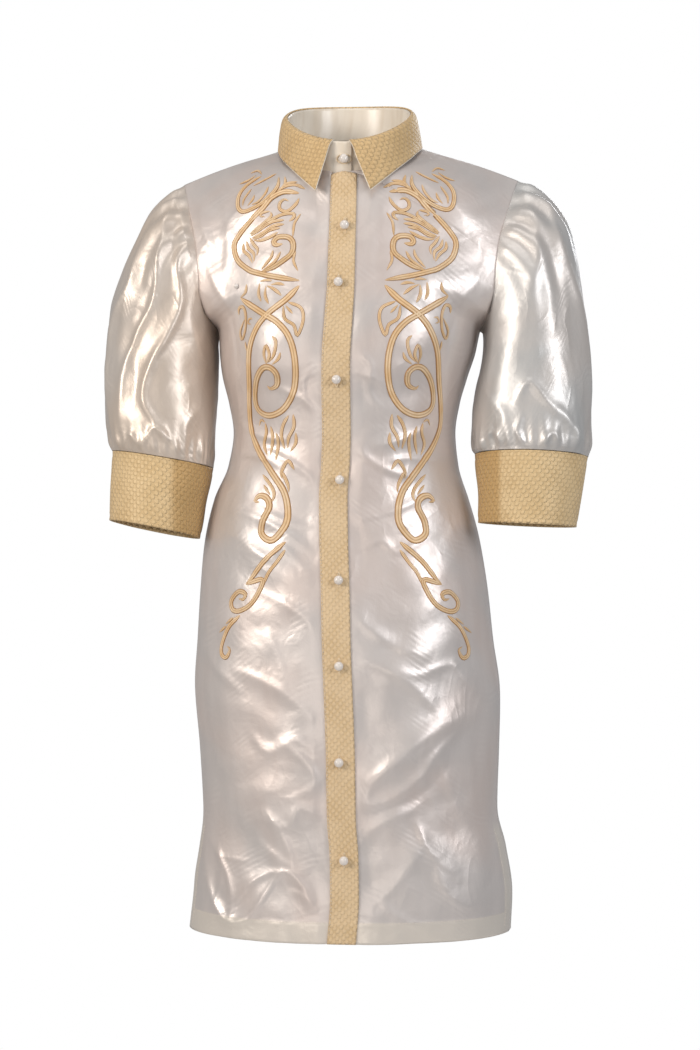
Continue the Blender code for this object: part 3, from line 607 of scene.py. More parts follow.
ARMHOLE_GAP = -0.9      # the sleeve head is sewn in under the body's edge
SLEEVE_NAMES = ("out_x", "out_z", "in_x", "in_z", "front_y", "back_y", "tip")
SLEEVE_SECTIONS = {
    -1: np.array([
        (201, -33, 157, -213, -61, 57, 0),
        (216, -43, 159, -222, -66, 62, 0),
        (239, -66, 159.5, -233, -72, 66, 0),
        (257, -102, 159.5, -247, -76, 68, 0),
        (275, -142, 159, -262, -79, 68, 0),
        (288, -184, 158, -278, -82, 64, 0),
        (291.5, -230, 157, -295, -85, 60, 0),
        (292.5, -275, 157, -312, -88, 55, 0.5),
        (290.5, -318, 158.5, -337, -89, 49, 1.5),
        (286, -344, 161, -359, -88, 43, 2.5),
        (283, -355.7, 163, -375.2, -84, 38, 3),
    ]),
    1: np.array([
        (201, -33, 157, -213, -61, 57, 0),
        (220, -41, 159, -222, -66, 62, 0),
        (244, -63, 158.5, -233, -72, 66, 0),
        (262, -93, 157, -247, -76, 68, 0),
        (271, -131, 154.5, -262, -79, 68, 0),
        (277, -174, 151, -278, -82, 65, 0),
        (280.5, -216, 148.5, -295, -85, 61, 0),
        (284.5, -262, 147, -312, -88, 57, 1),
        (286.5, -312, 147.5, -331, -90, 52, 2.5),
        (286.5, -346, 149, -349, -90, 47, 4.5),
        (283, -364.3, 150.6, -360.3, -88, 42, 5.5),
    ]),
}
HEAD_PLEATS, HEAD_PLEAT_DEPTH = 9, 3.4
SLEEVE_GIRTH_RADIUS = 55.0
SLEEVE_UNEVENNESS = ((1.3, 70.0, 0.4), (0.15, 30.0, 1.0), (0.3, 70.0, 0.5))
CUFF_GATHERS, CUFF_GATHER_DEPTH, FINE_GATHER_DEPTH = 10, 2.4, 0.9

# As FRONT_CURVES, but x is out from the centre.
FRONT_SLEEVE_CREASES = {
    -1: [
        ([(206, -44), (214, -90), (219, -128), (225, -180), (244, -220), (261, -266),
          (265, -332)], 5.0, 4.8),
        ([(214, -48), (246, -121), (258, -161), (280, -197), (286, -262), (278, -340)], 5.0, 4.2),
        ([(171, -112), (190, -117), (197, -141), (193, -180), (208, -220), (225, -253),
          (236, -292), (221, -325), (196, -353)], 6.2, 6.3),
        ([(186, -60), (182, -90), (168, -112)], 6.2, 3.9),
        ([(199, -50), (204, -104), (206, -170)], 7.5, -3.3),
        ([(232, -96), (240, -150), (236, -200)], 11.2, -3.6),
        ([(252, -220), (246, -276), (250, -322)], 10.0, -2.7),
        ([(176, -160), (181, -205), (168, -262)], 8.8, 3.9),
        ([(205, -348), (222, -331), (236, -350)], 4.4, 3.3),
        ([(240, -352), (252, -338), (262, -354)], 4.4, 3.0),
        ([(170, -300), (186, -330), (182, -362)], 7.5, 2.7),
    ],
    1: [
        ([(211, -41), (234, -66), (248, -103), (261, -149), (274, -195), (283, -252),
          (284, -318)], 5.6, 5.1),
        ([(205, -48), (218, -84), (224, -120), (220, -176)], 10.0, 4.2),
        ([(188, -62), (176, -104), (170, -150)], 7.5, 3.0),
        ([(232, -88), (246, -140), (254, -196)], 8.8, -3.0),
        ([(198, -302), (214, -279), (234, -301), (251, -322)], 5.6, 3.6),
        ([(244, -305), (261, -328), (277, -354)], 5.6, 3.6),
        ([(168, -292), (184, -318), (178, -350)], 7.5, 2.7),
        ([(206, -318), (200, -336), (214, -356)], 4.8, 3.0),
        ([(228, -356), (240, -338), (252, -354)], 4.5, 2.7),
        ([(160, -350), (172, -336), (184, -352)], 4.5, 2.7),
    ],
}
BACK_SLEEVE_CREASES = {
    -1: [
        ([(204, -46), (212, -110), (230, -180), (238, -260), (228, -336)], 6.2, 4.5),
        ([(186, -66), (182, -130), (194, -200), (190, -290)], 7.5, 3.9),
        ([(222, -70), (252, -140), (268, -220), (262, -320)], 6.2, 3.6),
        ([(214, -344), (226, -322), (240, -350)], 5.0, 3.0),
    ],
    1: [
        ([(208, -46), (224, -120), (220, -200), (236, -290)], 6.9, 4.2),
        ([(184, -70), (190, -150), (182, -230), (196, -330)], 7.5, 3.6),
        ([(228, -70), (256, -160), (262, -250), (250, -340)], 6.2, 3.6),
        ([(180, -352), (194, -330), (206, -354)], 5.0, 3.0),
    ],
}


def armhole(angle, side):
    """The armhole, from the top (0) by the front (90 degrees) and under the arm (180) to
    the back."""
    front = between(FRONT_SECTIONS, SECTION_NAMES, ARMHOLE_ROWS * angle / np.pi)
    rear = between(BACK_SECTIONS, SECTION_NAMES, ARMHOLE_ROWS * (2 - angle / np.pi))
    fore = angle <= np.pi
    keys = ("side_x", "side_y", "side_z", "lean")
    x, y, z, lean = (np.where(fore, front[k], rear[k]) for k in keys)
    return np.stack([side * (x + ARMHOLE_GAP) + lean, y, z], axis=-1)


def ring(sections, row, angle, side):
    """A tube's section: an ellipse between its outer and inner points, deep from front_y
    to back_y, with its front edge tipped up."""
    s = between(sections, SLEEVE_NAMES, row)
    out, depth = np.cos(angle), np.sin(angle)
    x = (s["out_x"] + s["in_x"]) / 2 + (s["out_x"] - s["in_x"]) / 2 * out
    z = (s["out_z"] + s["in_z"]) / 2 + (s["out_z"] - s["in_z"]) / 2 * out + s["tip"] * depth
    y = (s["front_y"] + s["back_y"]) / 2 - (s["back_y"] - s["front_y"]) / 2 * depth
    return np.stack([side * x, y, z], axis=-1)


def sleeve_surface(side, rows, angles):
    """Rings from the armhole to the cuff: each ring's ellipse, pulled onto the armhole at
    the top, with pleats fading down from the head, tucks at the cuff, then the creases."""
    sections = SLEEVE_SECTIONS[side]
    row, angle = np.meshgrid(rows, angles, indexing="ij")
    points = ring(sections, row, angle, side)
    off = armhole(angle, side) - ring(sections, np.zeros_like(row), angle, side)
    points += off * (np.clip(1 - row / 3.0, 0.0, 1.0) ** 1.5)[..., None]
    last = len(sections) - 1.0
    middle = (ring(sections, row, np.zeros_like(angle), side)
              + ring(sections, row, np.full_like(angle, np.pi), side)) / 2
    away = points - middle
    away /= np.linalg.norm(away, axis=-1, keepdims=True)
    on_head = np.clip(np.cos(angle) + 0.25, 0.0, 1.0)
    pleats = HEAD_PLEAT_DEPTH * on_head * np.sin(HEAD_PLEATS * angle * 2 + 0.7 * np.sin(5 * angle))
    pleats *= np.clip(row / 0.8, 0, 1) * np.exp(-(row / 3.2) ** 2)
    tucks = CUFF_GATHER_DEPTH * np.sin(CUFF_GATHERS * angle + 0.6) * (0.7 + 0.3 * np.sin(3 * angle))
    tucks += FINE_GATHER_DEPTH * np.sin(3.3 * CUFF_GATHERS * angle + 1.2 * np.sin(2 * angle))
    tucks *= np.exp(-((row - last + 0.9) / 0.8) ** 2)
    held = np.clip(row / 0.7, 0, 1) * np.clip((last - row) / 0.35, 0, 1)
    x, z = np.abs(points[..., 0]), points[..., 2]
    front = np.clip(np.sin(angle) * 3.0 + 0.2, 0.0, 1.0)
    rear = np.clip(-np.sin(angle) * 3.0 + 0.2, 0.0, 1.0)
    drape = front * creases(x, z, FRONT_SLEEVE_CREASES[side])
    drape += rear * creases(x, z, BACK_SLEEVE_CREASES[side])
    round_it = SLEEVE_GIRTH_RADIUS * angle
    seam = np.clip(np.sin(angle / 2) * 9.0, 0.0, 1.0)
    drape += seam * unevenness(round_it, z, 210 + side, *SLEEVE_UNEVENNESS)
    return points + away * (pleats + tucks + held * drape)[..., None]


# The sleeves are tinted apart from the body and from each other: darker, as unlined sheer is, and
# with painted shade and lamp colour besides, the wearer's right one warmer and browner, the left one
# greyer and cooler.
sleeve_look = {
    -1: organza("organza_sleeve_right", rgb(0.60, 0.505, 0.42), rgb(0.545, 0.495, 0.45),
                rgb(0.77, 0.68, 0.60)),
    1: organza("organza_sleeve_left", rgb(0.55, 0.50, 0.46), rgb(0.50, 0.495, 0.48),
               rgb(0.71, 0.66, 0.62)),
}
SLEEVE_ROWS = np.concatenate([np.linspace(0, 1, 22, endpoint=False),
                              np.linspace(1, len(SLEEVE_SECTIONS[1]) - 1, 138)])
SLEEVE_ANGLES = np.linspace(0, 2 * np.pi, 200, endpoint=False)
sleeves = {}
for side, name in ((-1, "sleeve_right"), (1, "sleeve_left")):
    surface = sleeve_surface(side, SLEEVE_ROWS, SLEEVE_ANGLES)
    sleeves[side] = sheet_mesh(name + "_cloth", [(surface, side < 0)], closed=True,
                               look=sleeve_look[side])
    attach(sleeves[side], "root")
    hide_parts(name)


# ------------------------------------------------------------------ cuffs
# Straight bands of honey brocade on interfacing, 84 mm deep, embossed with a diamond
# lattice. Both stand away from the arm and are open at the bottom.

CUFF_WALL = 1.8
CUFF_SECTIONS = {
    -1: np.array([
        (283, -356.3, 163, -375.8, -84, 38, 3),
        (283.8, -398, 169.5, -418, -89, 28, 4),
        (284, -439, 177, -459.5, -93, 18, 5),
    ]),
    1: np.array([
        (283, -365, 150.6, -361, -88, 42, 5.5),
        (276.5, -406, 152.5, -402, -92, 31, 3.5),
        (269.5, -446.5, 155.5, -441.5, -94, 20, 2),
    ]),
}


def brocade(name, pale, deep, relief, wide, high, star=0.0, turned=None):
    """Brocade from its cloth measures: diamonds between two sets of crossing grooves,
    each a raised pillow with painted shade along its lower edge, laid on more strongly
    in random patches of deeper wear. star adds a small cross in the middle of each;
    turned = (from, to) sets the painted shade on the side turned from the lamps: nearer
    the centre than these distances out, in metres, the cloth is painted deeper."""
    look = Look(name, Sheen_Weight=0.15, Sheen_Roughness=0.4, Specular_IOR_Level=0.4)
    cells = look.place("UVMap", "UV", 1 / wide, 1 / high, 1.0)
    wobble = 0.06 * look.noise(cells, 0.6, 2.0)
    along = look.node("SeparateXYZ", {}, {0: cells}, 0) + wobble
    down = look.node("SeparateXYZ", {}, {0: cells}, 1)
    rising, falling = along + down, along - down
    groove = (rising.wave() * falling.wave()).ramp(0.0, 0.4)
    # Painted shade along each pillow's lower edge: the grooves moved a little down.
    under = ((rising - 0.07).wave() * (falling + 0.07).wave()).ramp(0.0, 0.3)
    cross = ((along * 2.0).wave() * (down * 2.0).wave()).ramp(0.5, 0.9)
    where = look.place("TexCoord", "Object", 1.0, 1.0, 1.0)
    # Random patches of deeper tone, where the pillows' painted shade is also laid on more strongly.
    wear_and_shade = look.noise(where, 38.0, 2.0).ramp(0.35, 0.7)
    thread = look.noise(look.place("UVMap", "UV", 1.0, 0.3, 1.0), 1500.0, 1.0)
    body = look.mix(0.3 * wear_and_shade + 0.2 * thread, pale, deep)
    # Painted shade on the pillows' lower edges, with the star's woven cross added.
    shade = (1.0 - under) * (0.35 + 0.65 * wear_and_shade) + star * cross
    # Painted shade: nearer the centre than turned, the cuff is painted deeper brown and its pillow
    # shade doubled, standing in for the side turned away from the lamps.
    if turned:
        out = look.node("Math", {"operation": "ABSOLUTE"}, {
            0: look.node("SeparateXYZ", {}, {0: where}, 0)})
        painted_inner_shade = 1.0 - out.ramp(turned[0], turned[1])
        body = look.mix(painted_inner_shade * 0.8, body, rgb(0.47, 0.275, 0.09))
        shade = shade * (1.0 + painted_inner_shade)
    # The dark brown is the painted shade's colour, and also the colour of the star crosses.
    look.feed("Base Color", look.mix(shade * 0.42, body, rgb(0.47, 0.31, 0.135)))
    look.feed("Roughness", 0.45 + 0.2 * thread)
    fine = look.bump(thread, 0.00012)
    look.feed("Normal", look.bump(groove + star * cross, relief, fine))
    return look.material


# How far out from the centre, in metres, each cuff's inner side is painted darker as shade.
CUFF_PAINTED_SHADE = {-1: (0.196, 0.208), 1: (0.176, 0.184)}
for side, name in ((-1, "cuff_right"), (1, "cuff_left")):
    row, angle = np.meshgrid(np.linspace(0, 2, 30), np.linspace(0, 2 * np.pi, 220, endpoint=False),
                             indexing="ij")
    band = ring(CUFF_SECTIONS[side], row, angle, side)
    middle = band.mean(axis=1, keepdims=True)
    away = (band - middle) * (1.0, 1.0, 0.0)
    away /= np.linalg.norm(away, axis=-1, keepdims=True)
    edges = 0.5 * np.exp(-((row - 0.12) / 0.05) ** 2) + 0.5 * np.exp(-((row - 1.88) / 0.05) ** 2)
    soft = 0.5 * rumple(45.0 * angle, row * 40.0, 55.0, 300 + side) * np.sin(angle / 2) ** 0.5
    band = band + away * (soft - edges)[..., None]
    cuff_look = brocade("brocade_" + name, rgb(0.71, 0.52, 0.285), rgb(0.61, 0.42, 0.20), 0.0009,
                        0.0090, 0.0096, turned=CUFF_PAINTED_SHADE[side])
    cuff = sheet_mesh(name + "_cloth", [(band, side < 0)], closed=True, wall=CUFF_WALL,
                      look=cuff_look)
    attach(cuff, "root")
    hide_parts(name)


# ------------------------------------------------------------------ collar
# A satin stand that laps over at the front, and a brocade leaf that turns over it and
# falls to two points. A fine pale cord is sewn round the leaf's free edges.

COLLAR_WALL = 1.5
STAND_OVER, STAND_UNDER, STAND_TUCK = 9.0, 17.0, 2.4
STAND_SEWN_DOWN = 3.5       # its low edge goes down behind the fronts and the back
LEAF_NAMES = ("share", "x", "y", "z")
LEAF_EDGE = np.array([
    (0.00, 0, 81, 19),
    (0.20, 42, 74, 18.5),
    (0.40, 74, 47, 16),
    (0.58, 85.5, 4, 7.5),
    (0.74, 78, -42, -9),
    (0.87, 60, -76, -30),
    (1.00, 31.5, -105, -58),
])
LEAF_END_X = {-1: 13.0, 1: 6.0}
LEAF_BULGE, LEAF_ROLL = 4.2, 2.2
PIPING = 0.85


def fold_line(angle):
    """Where the collar turns over: the neck line a little wider, about 35 mm up."""
    line = neck_line(angle, grow=FOLD_GROWTH)
    line[..., 2] = 39.6 - 33.5 * np.cos(angle) - 5.1 * np.cos(2 * angle)
    return line


def leaf_surface(shares, down):
    """The fall of the collar: straight from the fold to its lower edge, plus a half wave
    outwards down its length and a short one upwards where it rolls over the fold. shares
    run from the right point (-1) round the back (0) to the left point (1)."""
    share, u = np.meshgrid(shares, down, indexing="xy")
    t = np.abs(share)
    side = np.where(share < 0, -1.0, 1.0)
    end_x = np.where(share < 0, LEAF_END_X[-1], LEAF_END_X[1])
    angle = np.pi + (np.arcsin(end_x / NECK_HALF_WIDTH) - np.pi) * t
    fold = fold_line(angle)
    fold[..., 0] *= side
    fold[..., 2] += SEAM_GAP + 0.2
    rows = np.interp(t, LEAF_EDGE[:, 0], np.arange(len(LEAF_EDGE)))
    edge = between(LEAF_EDGE, LEAF_NAMES, rows)
    low = np.stack([side * edge["x"], edge["y"], edge["z"]], axis=-1)
    out = np.stack([side * np.sin(angle), -np.cos(angle), np.zeros_like(angle)], axis=-1)
    points = fold * (1 - u)[..., None] + low * u[..., None]
    points += out * (LEAF_BULGE * np.sin(np.pi * np.clip(u, 0, 1) ** 0.55))[..., None]
    points[..., 2] += LEAF_ROLL * np.sin(np.pi * np.clip(u * 3.0, 0, 1))
    return points


def tube(name, line, radius, look, closed=False):
    """A round cord along a line of points in millimetres."""
    curve = bpy.data.curves.new(name, "CURVE")
    curve.dimensions = "3D"
    curve.bevel_depth = radius * MM
    curve.bevel_resolution = 2
    curve.use_fill_caps = True
    spline = curve.splines.new("POLY")
    spline.points.add(len(line) - 1)
    spline.points.foreach_set("co", np.c_[line * MM, np.ones(len(line))].ravel())
    spline.use_cyclic_u = closed
    curve.materials.append(look)
    cord = bpy.data.objects.new(name, curve)
    bpy.context.collection.objects.link(cord)
    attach(cord, "root")
    return cord


satin = Look("stand_satin", Roughness=0.3, Sheen_Weight=0.25, Coat_Weight=0.2, Coat_Roughness=0.3)
satin_thread = satin.noise(satin.place("UVMap", "UV", 1.0, 0.05, 1.0), 700.0, 2.0)
satin_drift = satin.noise(satin.place("UVMap", "UV", 1.0, 0.2, 1.0), 60.0, 2.0)
satin.feed("Base Color", satin.mix(satin_drift.ramp(0.35, 0.7), rgb(0.80, 0.715, 0.60),
                                   rgb(0.70, 0.60, 0.475)))
satin.feed("Normal", satin.bump(satin_thread, 0.00006, satin.bump(satin_drift, 0.0004)))

start = np.arcsin(STAND_UNDER / NECK_HALF_WIDTH)
stop = 2 * np.pi + np.arcsin(STAND_OVER / NECK_HALF_WIDTH)
angles = np.linspace(-start, stop, 280)
tuck = STAND_TUCK * np.clip(1 - (angles + start) / 0.9, 0.0, 1.0) ** 0.7
low, high = neck_line(angles), fold_line(angles)
low[..., 2] -= STAND_SEWN_DOWN
out = np.stack([np.sin(angles), -np.cos(angles), np.zeros_like(angles)], axis=-1)
share = np.linspace(0, 1, 16)[:, None, None]
band = low * (1 - share) + high * share - out * tuck[:, None]
band += out * (0.7 * np.sin(np.pi * share))
stand = sheet_mesh("collar_stand_cloth", [(band[::-1], True)], wall=COLLAR_WALL, look=satin.material)
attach(stand, "root")
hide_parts("collar_stand")

leaf_look = brocade("brocade_collar", rgb(0.68, 0.475, 0.24), rgb(0.58, 0.375, 0.17), 0.0011,
                    0.0090, 0.0100)
shares = np.linspace(-1, 1, 320)
down = np.concatenate([np.linspace(0, 0.16, 8, endpoint=False), np.linspace(0.16, 1, 18)])
fall = leaf_surface(shares, down)
along = laid_out(fall)[12, :, 0]
leaf = sheet_mesh("collar_leaf_cloth", [(fall, True)], wall=COLLAR_WALL, look=leaf_look,
                  across=along - along[len(along) // 2])
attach(leaf, "root")
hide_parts("collar_leaf")

piping_look = Look("piping", Roughness=0.5, Sheen_Weight=0.2)
piping_look.shader.inputs["Base Color"].default_value = rgb(0.80, 0.73, 0.62)
edge_line = np.concatenate([fall[:, 0], fall[-1, 1:], fall[::-1, -1][1:]])
out_line = np.sign(edge_line[:, :1]) * 0.4 * np.array([[1.0, 0.0, 0.0]])
piping = tube("collar_piping", edge_line + out_line, PIPING, piping_look.material)


# ------------------------------------------------------------------ placket
# A single strip of the same brocade, light side out, over both front edges. Its weave
# has small stars in place of the lattice.

PLACKET_WIDTH_TOP, PLACKET_WIDTH = 30.0, 33.0
PLACKET_LIFT, PLACKET_DROP, PLACKET_WALL = 0.6, 1.0, 1.3


def down_the_front(row, x, stand_off):
    """Points near the centre front at x, moved out from the fronts by stand_off."""
    s = between(FRONT_SECTIONS, SECTION_NAMES, row)
    q = np.abs(x) / s["side_x"]
    y, z = skin(s, np.abs(x), q, s["mid_y"], s["mid_z"], np.sign(x), -1.0)
    return np.stack([x + s["lean"], y - stand_off, z], axis=-1)


def placket_width(row):
    """The strip widens evenly over the first six rows below the neck."""
    widening = np.clip((row - FRONT_NECK_ROW) / 6.0, 0.0, 1.0)
    return PLACKET_WIDTH_TOP + (PLACKET_WIDTH - PLACKET_WIDTH_TOP) * widening


placket_look = brocade("brocade_placket", rgb(0.71, 0.53, 0.325), rgb(0.62, 0.435, 0.235), 0.0006,
                       0.0076, 0.0084, star=0.5)
rows = np.concatenate([np.linspace(FRONT_NECK_ROW, ARMHOLE_ROWS, 36, endpoint=False),
                       np.linspace(ARMHOLE_ROWS, HEM_ROW, 264)])
row, share = np.meshgrid(rows, np.linspace(-0.5, 0.5, 15), indexing="ij")
x = share * placket_width(row)
# Its edges are pressed a little flat, and the sewn one is pulled in by the stitching.
stand_off = PLACKET_LIFT + PLACKET_WALL + 0.15 * (1 - np.abs(2 * share) ** 8)
edge_pull = 0.35 * np.exp(-((share + 0.43) / 0.03) ** 2)
strip = down_the_front(row, x, stand_off - edge_pull)
strip[0, :, 2] -= PLACKET_DROP
placket = sheet_mesh("placket_cloth", [(strip, True)], wall=PLACKET_WALL, look=placket_look)
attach(placket, "root")
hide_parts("placket")


# ------------------------------------------------------------------ pearl buttons
# Nine round shank pearls, 11 mm across, each sewn on by a thread shank and closed through
# a corded buttonhole: the top one in the stand, the rest down the placket.

BUTTON_RADIUS, BUTTON_FLATNESS, BUTTON_GAP = 5.3, 0.8, 0.9
STAND_BUTTONHOLE, PLACKET_BUTTONHOLE = (8.4, 5.4), (1.3, 8.4)       # half width, half height
BUTTONHOLE_CORD, SHANK_RADIUS = 0.65, 0.8
BUTTONS = ((-19.5, 0.0), (-99.0, 2.5), (-166.0, -2.5), (-278.0, 1.0), (-392.0, 6.5),
           (-507.0, 4.5), (-605.0, 2.5), (-715.0, -1.5), (-827.0, 0.0))

pearl = Look("pearl", Roughness=0.2, Coat_Weight=0.7, Coat_Roughness=0.08, Specular_IOR_Level=0.6,
             Sheen_Weight=0.3, Sheen_Tint=rgb(0.95, 0.9, 1.0))
nacre = pearl.noise(pearl.place("TexCoord", "Object", 1.0, 1.0, 1.0), 160.0, 2.0)
pearl.feed("Base Color", pearl.mix(nacre, rgb(0.78, 0.70, 0.60), rgb(0.66, 0.61, 0.58)))
corded = Look("buttonhole_thread", Roughness=0.55, Sheen_Weight=0.3)
corded.shader.inputs["Base Color"].default_value = rgb(0.70, 0.55, 0.36)


def ball(name, centre, radii, look, detail):
    """A smooth ellipsoid about centre, in millimetres: detail points round it, and half
    as many from top to bottom."""
    across, up = np.meshgrid(np.linspace(0, 2 * np.pi, detail, endpoint=False),
                             np.linspace(0.02, np.pi - 0.02, detail // 2), indexing="xy")
    unit = np.stack([np.sin(up) * np.cos(across), np.sin(up) * np.sin(across), np.cos(up)], axis=-1)
    piece = sheet_mesh(name, [(unit * radii + centre, True)], closed=True, wall=0.0, look=look)
    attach(piece, "root")
    return piece


mid_z = FRONT_SECTIONS[FRONT_NECK_ROW:, SECTION_NAMES.index("mid_z")]
for number, (drop, aside) in enumerate(BUTTONS, start=1):
    row = np.interp(-drop, -mid_z, np.arange(FRONT_NECK_ROW, len(FRONT_SECTIONS)))
    seat = down_the_front(np.array(row), np.array(aside), PLACKET_LIFT + PLACKET_WALL)
    if drop > mid_z[0]:
        seat[:2] = aside, NECK_CENTRE_Y - NECK_HALF_DEPTH - FOLD_GROWTH
    seat[2] = drop
    forward = BUTTON_RADIUS * BUTTON_FLATNESS + BUTTON_GAP
    flat_radii = (BUTTON_RADIUS, BUTTON_RADIUS * BUTTON_FLATNESS, BUTTON_RADIUS)
    button = ball(f"pearl_{number}", seat + (0.0, -forward, 0.0), flat_radii, pearl.material, 32)
    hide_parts(f"pearl_button_{number}")
    turn = np.linspace(0, 2 * np.pi, 40, endpoint=False)
    reach = STAND_BUTTONHOLE if number == 1 else PLACKET_BUTTONHOLE
    hole = np.stack([seat[0] + reach[0] * np.cos(turn), np.full_like(turn, seat[1] - 0.3),
                     seat[2] + reach[1] * np.sin(turn)], axis=-1)
    cord = tube(f"buttonhole_{number}", hole, BUTTONHOLE_CORD, corded.material, closed=True)
    shank = tube(f"button_shank_{number}", np.array([seat + (0, 0.4, 0), seat + (0, -2.2, 0)]),
                 SHANK_RADIUS, corded.material)


# ------------------------------------------------------------------ embroidery
# Corded vine embroidery down both fronts, one side the mirror of the other. Each stroke
# is a satin-stitch ribbon with two rounded cords, couched on the organza; its points are
# (out from the centre line, height) and the number before them its width.

